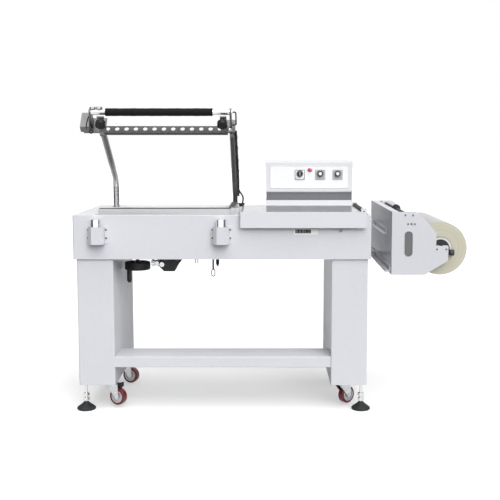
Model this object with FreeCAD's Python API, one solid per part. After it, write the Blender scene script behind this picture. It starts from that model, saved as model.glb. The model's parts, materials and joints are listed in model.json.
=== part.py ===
"""Semi-automatic L-bar sealer: cabinet on legs, hinged sealing arm, feed tray, film unit.

Working frame: x = 0 at the middle of the cabinet, y = 0 at its front face, z = 0 on the floor,
+X to the right, +Y to the back, +Z up. At the end every solid is moved so that the row's origin
is the middle of the bottom of the whole machine's box.
The sealing arm is drawn closed, with its bars on the jaws, and then turned open to its rest.
"""
import FreeCAD, Part
import math
import os

Vector = FreeCAD.Vector
X_AXIS = Vector(1, 0, 0)
Y_AXIS = Vector(0, 1, 0)
Z_AXIS = Vector(0, 0, 1)
ORIGIN = Vector(0, 0, 0)

# ------------------------------------------------------------------ driving dimensions (mm, degrees)
# Clearances and joints
running_clearance = 0.05        # radial, shaft in its bore
moving_gap = 0.3                # between faces of pieces that move past each other

# Base frame
leg_width = 153.5
leg_depth = 561.0
leg_front = 10.0                # leg front face behind the cabinet front
leg_inset = 12.0                # leg outer face inside the cabinet end
leg_bottom = 117.0
leg_wall = 3.0
leg_base_thickness = 6.0
leg_corner_radius = 5.0
beam_bottom = 192.5
beam_height = 46.5
beam_depth = 168.0
beam_setback = 5.0             # beam front behind the leg front
beam_wall = 2.5

# Levelling feet
foot_edge = 20.0                # foot axis inside the leg's outer face
foot_setback = 43.0             # foot axis inside the leg's front and back faces
foot_pad_radius = 40.0
foot_pad_height = 36.0
foot_rim_height = 9.0
foot_rim_bevel = 3.0
foot_dome_steps = ((12.0, 10.0), (23.0, 18.0))  # in from the pad's edge, above its rim
foot_neck_wall = 5.0
foot_neck_bevel = 2.5
stud_radius = 6.0
stud_socket_depth = 14.0
stud_stand_up = 30.0            # stud length inside the leg
hex_nut_flats = 24.0
hex_nut_height = 12.0
lower_nut_bottom = 41.0
upper_nut_bottom = 61.0
flange_nut_radius = 14.0
flange_nut_height = 7.0

# Casters
caster_edge_left = 125.5        # swivel axis inside the left leg's outer face
caster_edge_right = 101.5       # swivel axis inside the right leg's outer face
caster_front_setback = 87.0     # swivel axis behind the leg's front face
caster_back_setback = 99.0      # swivel axis in front of the leg's back face
caster_floor_gap = 12.0         # the machine stands on its feet, so the wheels hang clear
wheel_radius = 37.0
wheel_width = 28.0
wheel_hub_radius = 27.0
wheel_rim_radius = 4.0
wheel_dish_radius = 21.6        # dish on each side of the hub
wheel_dish_depth = 4.9
wheel_boss_radius = 8.0         # round the axle, left standing in the dish
caster_trail = 31.0
fork_plate = 3.0
fork_side_gap = 1.5
fork_bridge = 6.0
caster_cap_radius = 23.0
caster_cap_height = 12.0
caster_stem_radius = 6.0
caster_stem_length = 26.0
axle_radius = 4.0
pedal_pin_radius = 2.5
pedal_hub_radius = 5.0
pedal_reach = 16.0              # pedal's lower edge ahead of its pin
pedal_tip = (17.6, 12.4)        # ahead of the pin, above it
pedal_top = (12.0, 15.0)
pedal_heel = 8.0
swivel_angles = {"front_left": -25.0, "front_right": 40.0, "rear_left": -20.0, "rear_right": 30.0}

# Cabinet
cabinet_length = 1250.0
cabinet_depth = 660.0
cabinet_bottom = 659.0
cabinet_height = 185.0          # to the top of the deck
sheet = 2.0
deck_thickness = 3.0
cabinet_corner_radius = 6.0

# Jaws and product well
jaw_height = 23.0
jaw_pad_height = 5.0
jaw_groove = 2.0                # the pads are let into the jaws by this much
jaw_pad_width = 20.0
front_jaw_y = 60.0
front_jaw_depth = 35.0
front_jaw_left = -527.0
side_seal_x = 34.5              # middle of the side seal
side_jaw_width = 35.0
seal_back = 510.0
pad_end_margin = 5.0            # jaw left bare at the ends of the pads
jaw_pad_setback = 1.0           # pad behind the front jaw's front face
corner_block_left = 36.0
corner_block_width = 36.0
corner_block_front = 45.0
corner_block_depth = 53.0
corner_block_height = 27.0
corner_slot = 4.0
well_margin = 2.0               # deck left between the jaws and the well
well_end_margin = 5.0           # well behind the seal's end
well_left = -515.0

# Lifting work table
table_rest_drop = 32.0          # table top under the deck at rest
table_thickness = 3.0
table_flange = 14.0
table_gap = 5.0                 # table to the edge of the well
lift_spacing = 152.0            # lift screw from the handwheel
lift_y = 280.0
screw_radius = 10.0
screw_below_floor = 65.0
guide_radius = 8.0
guide_spacing_x = 240.0
guide_spacing_y = 180.0         # the two guides stand diagonally, clear of the chain
guide_below_floor = 40.0
bush_wall = 6.0
bush_flange = 5.0
bush_flange_height = 4.0
bush_tail = 8.0                 # bush under the cabinet floor
rod_flange_radius = 25.0
rod_flange_height = 8.0
sprocket_radius = 25.0
sprocket_thickness = 6.0
sprocket_gap = 0.5              # chain to the sprocket's teeth
chain_thickness = 5.5
chain_height = 5.0
chain_drop = 24.0               # middle of the chain under the cabinet floor
housing_top_width = 99.0
housing_bottom_width = 58.0
housing_lean = 20.0             # the right side slopes in by this much more
housing_depth = 100.0
housing_top_drop = 34.0
housing_shoulder_drop = 60.0
housing_bottom_drop = 82.0
housing_post_radius = 5.0
housing_post_x = 43.0
housing_post_y = 44.0
housing_floor = 6.0
stub_radius = 13.0
stub_ring_radius = 16.0
stub_ring_width = 9.0
stub_length = 40.0
stub_drop = 50.0
stub_ring_places = (4.0, 28.0)   # rings from the housing
lift_bore_gap = 2.0             # housing's lower bore round the screw
nut_radius = 17.0

# Handwheel
handwheel_leg_gap = 8.5
handwheel_radius = 57.0
handwheel_rim_width = 18.0
handwheel_rim_height = 36.0
handwheel_rim_fillet = 6.0
handwheel_web = 10.0
handwheel_hub_radius = 19.0
handwheel_bottom_drop = 80.0
spindle_radius = 8.0
spindle_collar_radius = 13.0
spindle_collar_height = 8.0
grip_arm = 38.0
grip_radius = 11.0
grip_fillet = 3.0
grip_length = 54.0
grip_bolt_radius = 4.0
grip_bolt_head = 4.0
grip_bolt_head_radius = 7.0

# Magnets
left_magnet_x = -522.0
right_magnet_x = -3.0
magnet_radius = 20.75
magnet_stand_off = 27.0         # magnet axis in front of the cabinet
magnet_top_drop = 15.0          # magnet top under the deck
magnet_height = 101.0
magnet_foot_width = 24.0
magnet_foot_height = 30.0
cover_width = 65.0
cover_front_width = 34.0
cover_depth = 50.0
cover_side_depth = 33.0
cover_height = 73.0
cover_top_drop = 46.0
cover_wall = 2.0
cover_flange_width = 88.0
cover_screw_x = 75.0
cover_screw_z = 35.0
cover_screw_rise = 5.0          # screws' middle above the cover's middle
disc_radius = 22.0
disc_height = 18.0
disc_lift = 2.0                 # air gap to the magnet when the arm is closed
disc_post_radius = 7.0

# Sealing arm, drawn closed
pivot_y = 570.0
pivot_drop = 22.0               # pivot under the deck
arm_open_angle = 40.5
pivot_shaft_radius = 10.0
pivot_shaft_overhang = 4.0      # shaft past the arm tubes' hubs
bearing_block_width = 20.0
bearing_block_depth = 40.0
bearing_block_drop = 22.0       # bearing blocks' underside below the pivot
left_bearing_x = -502.0
right_bearing_x = 2.0
crank_x = -74.0
crank_width = 16.0
crank_length = 55.0
crank_hub_radius = 17.0
crank_end_radius = 8.0
crank_rest_drop = 40.0          # degrees below level with the arm open
bar_left = -543.0
bar_right = 17.0
bar_face_height = 35.0
bar_depth = 20.0
bar_sheet = 3.0
bar_clearance = 3.0             # bar underside above the jaw pads, filled by the blade
bar_hole_radius = 10.0
bar_hole_pitch = 40.8
bar_hole_count = 13
side_bar_width = 20.0
side_bar_thickness = 5.0
side_bar_back = 500.0
side_post_radius = 5.0
side_post_places = (200.0, 320.0, 440.0)
blade_width = 5.0
insulator_width = 12.0
insulator_height = 1.2
left_tube_x = -531.0
right_tube_x = 36.0
left_tube_radius = 13.5
right_tube_radius = 11.0
arm_tube_wall = 2.5
tube_bend_forward = 96.0        # bend in front of the pivot
tube_bend_rise = 112.5          # bend above the pivot
tube_bend_radius = 80.0
tube_front_rise = 67.5          # tube front end above the pivot
tube_slot_margin = 4.0
tube_foot_depth = 21.0
tube_foot_height = 20.0
hub_radius = 17.0
handle_y = -17.0
handle_rise = 96.0              # handle axis above the pivot
handle_tube_radius = 12.0
handle_tube_wall = 1.5
handle_left = -580.0
handle_right = 34.0
handle_ring_radius = 16.0
handle_arm_low = 22.0           # handle arm's root above the plates' lower edge
handle_arm_high = 60.0
left_handle_arm_width = 8.0
right_handle_arm_width = 8.0
foam_radius = 17.0
foam_fillet = 3.0
foam_left = -510.0
foam_right = -47.0
end_box_left = -624.0
end_box_width = 39.0
end_box_height = 82.0
end_box_depth = 34.0
end_box_radius = 3.0
end_plate_thickness = 8.0
left_plate_left = -612.0
left_plate_height = 81.0
left_plate_corner = 35.0
right_plate_left = -8.0
right_plate_height = 71.0
right_plate_overhang = 2.0      # right plate past the right tube
disc_arm_thickness = 6.0
disc_arm_reach = 8.0            # disc arm past the disc's axis
left_disc_arm = (-541.0, -510.0)
right_disc_arm = (-14.0, 14.0)
left_disc_tab = (-541.0, -521.0)
right_disc_tab = (-8.0, 14.0)
disc_tab_height = 24.0
bar_pin_height = 18.0
bar_pin_radius = 1.5
bar_pin_head = 3.5
bar_pin_positions = (-470.5, -51.6)
plate_bolt_radius = 7.0
plate_bolt_height = 5.0
left_bolt_inset = 72.0          # from the left plate's outer end
right_bolt_rise = 12.0          # above the right plate's lower edge
arm_cable_radius = 4.5
arm_cable_start = 70.0          # cables' lower ends along the tube from the pivot
cable_gap = 0.1
cable_end_gap = 1.0
handle_cable_radius = 3.0
handle_cable_loop = 14.0
handle_cable_bend = 7.0

# Return spring and its eye rod
spring_radius = 11.0
spring_wire = 3.0
spring_foot_rise = 30.0         # spring's lower end above the cabinet floor
eye_rod_radius = 4.5
eye_rod_drop = 123.0            # rod under the cabinet floor, down to the eye
eye_width = 20.0
eye_height = 37.0
eye_wire = 4.0
eye_nut_radius = 9.0
eye_nut_height = 8.0
spring_seat_height = 3.0

# Cable glands on the deck and under the floor
gland_x = 66.0
gland_y = 566.0
gland_top_radius = 16.0
gland_foot_radius = 10.0
gland_height = 15.0
tail_radius = 4.0
tail_bend = 12.0
tail_route = ((4.0, 0.0, 15.0), (9.0, 3.0, 36.0), (3.0, 9.0, 54.0))  # from the gland's foot
floor_gland_x = -53.0
floor_gland_y = 617.0
floor_gland_radius = 8.0
floor_gland_drop = 102.0
floor_gland_tip = 7.0
floor_gland_tip_radius = 5.0

# Feed tray
tray_left = 77.0
tray_right = 603.0
tray_front = 27.0               # lip in front of the cabinet
tray_back = 390.0
tray_sheet = 3.0
tray_gap = 0.3                  # tray over its rails
rail_notch_gap = 2.0            # notch in the tray's back flange beside a rail
tray_lip_height = 67.3
tray_flange = 10.3
tray_roller_inset = 13.0        # roller axis inside the tray's right edge
tray_roller_radius = 11.0
tray_roller_pin = 4.0
tray_lug_width = 24.0
tray_lug_thickness = 4.0
tray_lug_height = 30.0
tray_lug_rise = 15.0
rail_width = 20.0
rail_height = 13.0
rail_inset = 43.0
rail_front = 10.0
rail_back = 386.0
thumbscrew_x = 497.0
thumbscrew_rise = 122.0         # above the cabinet's underside
thumbscrew_radius = 6.0
thumbscrew_height = 7.0

# Control box
box_left = 182.0
box_right = 593.0
box_front = 550.0
box_back = 650.0
box_bottom_rise = 67.0          # control box underside above the deck
box_height = 147.0
box_lean = 12.0
box_sheet = 2.0
box_front_wall = 4.0
box_corner_radius = 9.0
plinth_height = 30.0
neck_setback = 12.0
panel_margin_x = 18.0
panel_bottom = 17.0
panel_height = 110.0
panel_thickness = 1.5
panel_corner_radius = 12.0
plate_size = 48.0
plate_thickness = 2.0
plate_corner_radius = 2.5
instrument_height = 83.0        # plates' middle above the box underside
switch_x = 343.0
lamp_x = 390.5
left_timer_x = 439.4
right_timer_x = 522.0
lamp_radius = 11.0
lamp_raise = 23.0
lamp_height = 9.0
lamp_fillet = 4.5
knob_raise = 5.0
switch_knob_radius = 14.0
switch_knob_height = 6.0
switch_bar_width = 9.0
switch_bar_height = 12.0
switch_bar_length = 25.2
switch_bar_fillet = 2.25
dial_radius = 13.5
dial_height = 12.0
dial_flat = 11.6                # flat from the dial's axis
control_shaft_radius = 3.0

# Film unit
film_gap = 81.0                 # cabinet end to the unit's side panel
film_plate = 3.0
film_front = 30.0               # front plate's face in front of the cabinet
film_length = 790.0
film_bottom = 598.0
film_height = 263.0
film_top_width = 99.0
film_chamfer_width = 15.0
film_chamfer_drop = 7.4
film_shoulder_width = 185.0
film_lug_width = 236.0
film_foot_width = 139.0
film_shoulder_height = 176.0
film_lug_top = 121.0
film_lug_bottom = 59.0
film_flange = 30.0
slot_width = 34.5
slot_height = 107.4
slot_x = 69.8
slot_z = 129.4
roll_x = 208.0                  # roll axis from the side panel
roll_z = 107.0                  # roll axis above the unit's bottom
roll_radius = 111.0
roll_core_radius = 50.0
roll_bore_radius = 41.0
roll_length = 555.0
roll_front_gap = 32.0           # roll end behind the front plate
chuck_flange_radius = 47.0
chuck_flange = 5.0
chuck_depth = 25.0
roll_shaft_radius = 8.0
keeper_width = 51.0
keeper_height = 45.0
keeper_thickness = 22.0
keeper_top_rise = 14.0
keeper_screw_spacing = 38.8
lock_knob_radius = 14.5
lock_knob_length = 26.0
lock_knob_fillet = 3.0
lock_knob_stand_off = 4.0       # knob clear of the keeper
lock_stud_radius = 4.0
lock_stud_drop = 15.0
lock_stud_depth = 10.0
tie_rod_x = 119.0
tie_rod_z = 16.0
tie_rod_radius = 8.0
idler_x = 80.7
idler_z = 212.0
idler_radius = 10.0
idler_pin_radius = 5.0
perforator_x = 70.5
perforator_drop = 14.0          # pin wheel shaft under the plates' top
perforator_radius = 21.0
perforator_hub_radius = 12.0
perforator_width = 16.0
perforator_setback = 390.0      # wheel behind the front plate
perforator_shaft_radius = 6.0
perforator_pin_count = 24
perforator_pin_length = 3.0
perforator_pin_radius = 1.5
bearing_width = 40.0
bearing_height = 34.0
bearing_thickness = 18.0
bearing_screw_spacing = 32.0
angle_leg = 23.0
angle_sheet = 6.0
upper_angle_length = 640.0
lower_angle_length = 770.0
upper_angle_rise = 155.0        # above the unit's bottom
lower_angle_rise = 9.0
angle_height = 26.0
spacer_height = 16.0
spacer_depth = 40.0
upper_spacer_setback = 160.0    # from the back plate
lower_spacer_setback = 240.0
angle_screw_setbacks = (260.0, 37.0)

# Small screws
screw_head_radius = 4.0
screw_head_height = 2.5
screw_shank_radius = 2.0
screw_shank_length = 6.0

# ------------------------------------------------------------------ derived places
deck_top = cabinet_bottom + cabinet_height
deck_bottom = deck_top - deck_thickness
cabinet_half = cabinet_length / 2
leg_outer = cabinet_half - leg_inset
leg_inner = leg_outer - leg_width
leg_back = leg_front + leg_depth
pivot_z = deck_top - pivot_drop
jaw_top = deck_top + jaw_height
pad_top = jaw_top - jaw_groove + jaw_pad_height
bar_bottom = pad_top + bar_clearance
bar_top = bar_bottom + bar_face_height
bar_centre_y = front_jaw_y + jaw_pad_setback + jaw_pad_width / 2
bar_front = bar_centre_y - bar_depth / 2
bar_back = bar_centre_y + bar_depth / 2
plate_front = bar_front + bar_sheet
plate_back = plate_front + end_plate_thickness
plate_low = bar_bottom + bar_sheet
handle_z = pivot_z + handle_rise
side_jaw_left = side_seal_x - side_jaw_width / 2
side_jaw_front = corner_block_front + corner_block_depth
well_right = side_jaw_left - well_margin
well_front = front_jaw_y + front_jaw_depth + well_margin
well_back = seal_back + well_end_margin
magnet_top = deck_top - magnet_top_drop
wheel_axle_z = caster_floor_gap + wheel_radius
tray_top = deck_top + rail_height + tray_gap + tray_sheet
tray_roller_x = tray_right - tray_roller_inset
tray_roller_z = tray_top
box_bottom = deck_top + box_bottom_rise
film_left = cabinet_half + film_gap
film_front_y = -film_front
film_back_y = film_front_y + film_length
film_top = film_bottom + film_height
roll_axis_x = film_left + roll_x
roll_axis_z = film_bottom + roll_z
sprocket_z = cabinet_bottom - chain_drop
sprocket_low = sprocket_z - sprocket_thickness / 2
table_top = deck_top - table_rest_drop
handwheel_x = -(leg_inner - handwheel_leg_gap - handwheel_radius)
handwheel_y = lift_y
lift_x = handwheel_x + lift_spacing
guide_stations = [(lift_x + side * guide_spacing_x / 2, lift_y - side * guide_spacing_y / 2) for side in (-1, 1)]
grip_x = handwheel_x - grip_arm
spring_low = cabinet_bottom + spring_foot_rise
eye_rod_low = cabinet_bottom - eye_rod_drop
upper_angle_z = film_bottom + upper_angle_rise
lower_angle_z = film_bottom + lower_angle_rise
crank_pin_y = pivot_y + crank_length * math.cos(math.radians(crank_rest_drop))
crank_pin_z = pivot_z - crank_length * math.sin(math.radians(crank_rest_drop))
caster_stations = {
    "front_left": (-(leg_outer - caster_edge_left), leg_front + caster_front_setback),
    "front_right": (leg_outer - caster_edge_right, leg_front + caster_front_setback),
    "rear_left": (-(leg_outer - caster_edge_left), leg_back - caster_back_setback),
    "rear_right": (leg_outer - caster_edge_right, leg_back - caster_back_setback),
}
foot_stations = {
    "front_left": (-(leg_outer - foot_edge), leg_front + foot_setback),
    "front_right": (leg_outer - foot_edge, leg_front + foot_setback),
    "rear_left": (-(leg_outer - foot_edge), leg_back - foot_setback),
    "rear_right": (leg_outer - foot_edge, leg_back - foot_setback),
}
braked_casters = ("front_left", "front_right")

nodes = {}


# ------------------------------------------------------------------ shape helpers
def block(x0, x1, y0, y1, z0, z1):
    return Part.makeBox(x1 - x0, y1 - y0, z1 - z0, Vector(x0, y0, z0))


def rod(radius, start, direction, length):
    return Part.makeCylinder(radius, length, start, direction)


def ring(outer, inner, start, direction, length):
    return rod(outer, start, direction, length).cut(rod(inner, start, direction, length))


def outline(points):
    return Part.Face(Part.makePolygon(points + [points[0]]))


def plate_yz(points, x0, x1):
    return outline([Vector(x0, y, z) for y, z in points]).extrude(Vector(x1 - x0, 0, 0))


def plate_xz(points, y0, y1):
    return outline([Vector(x, y0, z) for x, z in points]).extrude(Vector(0, y1 - y0, 0))


def revolved(profile, centre_x, centre_y):
    face = outline([Vector(centre_x + r, centre_y, z) for r, z in profile])
    return face.revolve(Vector(centre_x, centre_y, 0), Z_AXIS, 360)


def rounded(shape, radius, direction):
    """Fillet every edge of the shape that runs along the direction."""
    edges = [e for e in shape.Edges
             if e.Curve.TypeId == "Part::GeomLine" and e.tangentAt(e.FirstParameter).cross(direction).Length < 1e-6]
    return shape.makeFillet(radius, edges)


def circle_edges(shape):
    return [e for e in shape.Edges if e.Curve.TypeId == "Part::GeomCircle"]


def capsule(radius, first, second, z, height):
    """A flat stadium of the given radius round two centres, drawn in the XY plane."""
    along = (second - first).normalize()
    side = Vector(-along.y, along.x, 0) * radius
    a, b = first + side, second + side
    c, d = second - side, first - side
    edges = [Part.LineSegment(a, b).toShape(), Part.Arc(b, second + along * radius, c).toShape(),
             Part.LineSegment(c, d).toShape(), Part.Arc(d, first - along * radius, a).toShape()]
    face = Part.Face(Part.Wire(edges))
    face.translate(Vector(0, 0, z))
    return face.extrude(Vector(0, 0, height))


def hexagon(flats, bore, centre, height):
    corner = flats / math.sqrt(3)
    points = [centre + Vector(corner * math.cos(math.radians(60 * i)),
                              corner * math.sin(math.radians(60 * i)), 0) for i in range(6)]
    return outline(points).extrude(Vector(0, 0, height)).cut(rod(bore, centre, Z_AXIS, height))


def bent_tube(radius, points, bend_radius):
    """A round bar along straight runs joined by tangent arcs, one at each inner point."""
    edges = []
    start = points[0]
    for before, corner, after in zip(points, points[1:], points[2:]):
        back = (before - corner).normalize()
        ahead = (after - corner).normalize()
        half = back.getAngle(ahead) / 2
        reach = bend_radius / math.tan(half)
        centre = corner + (back + ahead).normalize() * (bend_radius / math.sin(half))
        middle = centre + (corner - centre).normalize() * bend_radius
        first, last = corner + back * reach, corner + ahead * reach
        edges.append(Part.LineSegment(start, first).toShape())
        edges.append(Part.Arc(first, middle, last).toShape())
        start = last
    edges.append(Part.LineSegment(start, points[-1]).toShape())
    section = Part.Wire(Part.Circle(points[0], points[1] - points[0], radius).toShape())
    return Part.Wire(edges).makePipeShell([section], True, False)


def cap_screw(position, inward):
    """A small screw whose head stands on the face at the position."""
    head = rod(screw_head_radius, position, inward * -1, screw_head_height)
    return head.fuse(rod(screw_shank_radius, position, inward, screw_shank_length))


def screw_hole(position, inward):
    return rod(screw_shank_radius, position, inward, screw_shank_length)


def drilled(shape, places, inward):
    for place in places:
        shape = shape.cut(screw_hole(place, inward))
    return shape


def add(name, *solids):
    nodes[name] = Part.makeCompound([s for piece in solids for s in piece.Solids])


# ------------------------------------------------------------------ base frame, feet and casters
def make_leg(side):
    x0, x1 = sorted((side * leg_inner, side * leg_outer))
    outer = rounded(block(x0, x1, leg_front, leg_back, leg_bottom, cabinet_bottom), leg_corner_radius, Z_AXIS)
    inner = block(x0 + leg_wall, x1 - leg_wall, leg_front + leg_wall, leg_back - leg_wall,
                  leg_bottom + leg_base_thickness, cabinet_bottom)
    leg = outer.cut(inner)
    for stations, radius in ((foot_stations, stud_radius), (caster_stations, caster_stem_radius)):
        for x, y in stations.values():
            if x * side > 0:
                bore = radius + running_clearance
                leg = leg.cut(rod(bore, Vector(x, y, leg_bottom), Z_AXIS, leg_base_thickness))
    return leg


def make_beam():
    y0 = leg_front + beam_setback
    y1 = y0 + beam_depth
    z1 = beam_bottom + beam_height
    outer = rounded(block(-leg_inner, leg_inner, y0, y1, beam_bottom, z1), beam_wall, X_AXIS)
    return outer.cut(block(-leg_inner, leg_inner, y0 + beam_wall, y1 - beam_wall,
                           beam_bottom + beam_wall, z1 - beam_wall))


def make_foot(x, y):
    shoulder = foot_pad_radius - foot_rim_bevel
    neck = stud_radius + foot_neck_wall
    profile = [(0, 0), (shoulder, 0), (foot_pad_radius, foot_rim_bevel), (foot_pad_radius, foot_rim_height),
               (shoulder, foot_rim_height + foot_rim_bevel)]
    profile += [(foot_pad_radius - inward, foot_rim_height + rise) for inward, rise in foot_dome_steps]
    profile += [(neck, foot_pad_height - foot_neck_bevel), (neck - foot_neck_bevel, foot_pad_height),
                (0, foot_pad_height)]
    socket_z = foot_pad_height - stud_socket_depth
    pad = revolved(profile, x, y).cut(rod(stud_radius, Vector(x, y, socket_z), Z_AXIS, stud_socket_depth))
    stud_top = leg_bottom + stud_stand_up
    stud = rod(stud_radius, Vector(x, y, socket_z), Z_AXIS, stud_top - socket_z)
    for z in (lower_nut_bottom, upper_nut_bottom):
        stud = stud.fuse(hexagon(hex_nut_flats, stud_radius / 2, Vector(x, y, z), hex_nut_height))
    flange_z = leg_bottom - moving_gap - flange_nut_height
    stud = stud.fuse(rod(flange_nut_radius, Vector(x, y, flange_z), Z_AXIS, flange_nut_height))
    return [pad, stud]


def place_caster(shape, name):
    """Turn a caster piece, drawn trailing along +X at the origin, to its rest and station."""
    x, y = caster_stations[name]
    moved = shape.copy()
    moved.rotate(ORIGIN, Z_AXIS, swivel_angles[name])
    moved.translate(Vector(x, y, 0))
    return moved


def make_fork(braked):
    cap_top = leg_bottom - moving_gap
    bridge_top = cap_top - caster_cap_height
    bridge_bottom = bridge_top - fork_bridge
    inner = wheel_width / 2 + fork_side_gap
    outer = inner + fork_plate
    boss = wheel_boss_radius + fork_plate
    side_outline = [(-caster_cap_radius, bridge_bottom), (-caster_cap_radius, bridge_top),
                    (caster_trail + pedal_hub_radius + fork_plate, bridge_top),
                    (caster_trail + pedal_hub_radius + fork_plate, bridge_bottom - pedal_hub_radius),
                    (caster_trail + boss, wheel_axle_z), (caster_trail + boss / 2, wheel_axle_z - boss),
                    (caster_trail - boss / 2, wheel_axle_z - boss), (caster_trail - boss, wheel_axle_z)]
    sides = [plate_xz(side_outline, -outer, -inner), plate_xz(side_outline, inner, outer)]
    fork = block(-caster_cap_radius, caster_trail - pedal_hub_radius, -inner, inner, bridge_bottom, bridge_top)
    fork = fork.fuse(sides)
    fork = fork.fuse(rod(caster_cap_radius, Vector(0, 0, bridge_top), Z_AXIS, caster_cap_height))
    fork = fork.fuse(rod(caster_stem_radius, Vector(0, 0, cap_top), Z_AXIS, caster_stem_length))
    axle = rod(axle_radius, Vector(caster_trail, -outer - fork_plate, wheel_axle_z), Y_AXIS, 2 * (outer + fork_plate))
    fork = fork.fuse(axle)
    if braked:
        pin = rod(pedal_pin_radius, Vector(pedal_pivot_u(), -outer, pedal_pivot_z()), Y_AXIS, 2 * outer)
        fork = fork.fuse(pin)
    return fork.removeSplitter()


def pedal_pivot_u():
    return caster_trail + fork_plate


def pedal_pivot_z():
    return leg_bottom - moving_gap - caster_cap_height - fork_bridge - pedal_hub_radius / 2


def make_pedal():
    u, z = pedal_pivot_u(), pedal_pivot_z()
    half = wheel_width / 2
    hub = rod(pedal_hub_radius, Vector(u, -half, z), Y_AXIS, wheel_width)
    foot_plate = [(u, z - pedal_hub_radius), (u + pedal_reach, z - pedal_hub_radius),
                  (u + pedal_tip[0], z + pedal_tip[1]), (u + pedal_top[0], z + pedal_top[1]),
                  (u + pedal_heel, z + pedal_hub_radius), (u, z + pedal_hub_radius)]
    pedal = hub.fuse(plate_xz(foot_plate, -half, half)).removeSplitter()
    return pedal.cut(rod(pedal_pin_radius + running_clearance, Vector(u, -half, z), Y_AXIS, wheel_width))


def make_wheel():
    half = wheel_width / 2
    start = Vector(caster_trail, -half, wheel_axle_z)
    tyre = rod(wheel_radius, start, Y_AXIS, wheel_width)
    tyre = tyre.makeFillet(wheel_rim_radius, circle_edges(tyre))
    tyre = tyre.cut(rod(wheel_hub_radius, start, Y_AXIS, wheel_width))
    hub = ring(wheel_hub_radius, axle_radius + running_clearance, start, Y_AXIS, wheel_width)
    for y in (-half, half - wheel_dish_depth):
        dish = Vector(caster_trail, y, wheel_axle_z)
        hub = hub.cut(ring(wheel_dish_radius, wheel_boss_radius, dish, Y_AXIS, wheel_dish_depth))
    return [tyre, hub]


def make_base_frame():
    add("legs", make_leg(-1), make_leg(1))
    add("bottom_beam", make_beam())
    for name, (x, y) in foot_stations.items():
        add("levelling_foot_" + name, *make_foot(x, y))
    for name in caster_stations:
        add("caster_fork_" + name, place_caster(make_fork(name in braked_casters), name))
        add("caster_wheel_" + name, *[place_caster(s, name) for s in make_wheel()])
    for name in braked_casters:
        add("brake_pedal_" + name, place_caster(make_pedal(), name))


# ------------------------------------------------------------------ cabinet, deck and jaws
def cover_screw_places(magnet_x):
    middle_z = deck_top - cover_top_drop - cover_height / 2 + cover_screw_rise
    return [Vector(magnet_x + sx * cover_screw_x / 2, -cover_wall, middle_z + sz * cover_screw_z / 2)
            for sx in (-1, 1) for sz in (-1, 1)]


def tray_lock_place():
    return Vector(thumbscrew_x, 0, cabinet_bottom + thumbscrew_rise)


def make_cabinet():
    outer = rounded(block(-cabinet_half, cabinet_half, 0, cabinet_depth, cabinet_bottom, deck_bottom),
                    cabinet_corner_radius, Z_AXIS)
    body = outer.cut(block(-cabinet_half + sheet, cabinet_half - sheet, sheet, cabinet_depth - sheet,
                           cabinet_bottom + sheet, deck_bottom))
    bush_sites = [(handwheel_x, handwheel_y, spindle_radius)]
    bush_sites += [(x, y, guide_radius) for x, y in guide_stations]
    holes = [(x, y, radius + bush_wall) for x, y, radius in bush_sites]
    holes += [(lift_x, lift_y, screw_radius + table_gap), (crank_x, crank_pin_y, eye_rod_radius),
              (floor_gland_x, floor_gland_y, floor_gland_radius)]
    for x, y, radius in holes:
        body = body.cut(rod(radius, Vector(x, y, cabinet_bottom), Z_AXIS, sheet))
    for magnet_x in (left_magnet_x, right_magnet_x):
        body = drilled(body, cover_screw_places(magnet_x), Y_AXIS)
    body = drilled(body, [tray_lock_place()], Y_AXIS)
    return [body] + [make_bush(x, y, radius) for x, y, radius in bush_sites]


def make_bush(x, y, shaft_radius):
    bore = shaft_radius + running_clearance
    top = cabinet_bottom + sheet
    flange = ring(shaft_radius + bush_wall + bush_flange, bore, Vector(x, y, top), Z_AXIS, bush_flange_height)
    tail = ring(shaft_radius + bush_wall, bore, Vector(x, y, cabinet_bottom - bush_tail), Z_AXIS, bush_tail + sheet)
    return flange.fuse(tail).removeSplitter()


def make_deck():
    deck = rounded(block(-cabinet_half, cabinet_half, 0, cabinet_depth, deck_bottom, deck_top),
                   cabinet_corner_radius, Z_AXIS)
    well = rounded(block(well_left, well_right, well_front, well_back, deck_bottom, deck_top),
                   cabinet_corner_radius, Z_AXIS)
    deck = deck.cut(well)
    for x, radius in ((left_tube_x, left_tube_radius), (right_tube_x, right_tube_radius)):
        half = radius + tube_slot_margin
        deck = deck.cut(block(x - half, x + half, pivot_y - tube_slot_reach(radius), pivot_y + half,
                              deck_bottom, deck_top))
    rails = [block(x, x + rail_width, rail_front, rail_back, deck_top, deck_top + rail_height) for x in rail_places()]
    return [deck] + rails


def tube_slot_reach(radius):
    """How far in front of the pivot the deck is open for an arm tube, with the arm closed."""
    lean = math.atan2(tube_bend_rise, tube_bend_forward)
    return (deck_top - pivot_z) / math.tan(lean) + radius / math.sin(lean) + tube_slot_margin


def rail_places():
    """Left edges of the bars that the feed tray slides on."""
    return [tray_left + rail_inset, tray_right - rail_inset - tray_lug_width / 2 - rail_width]


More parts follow.
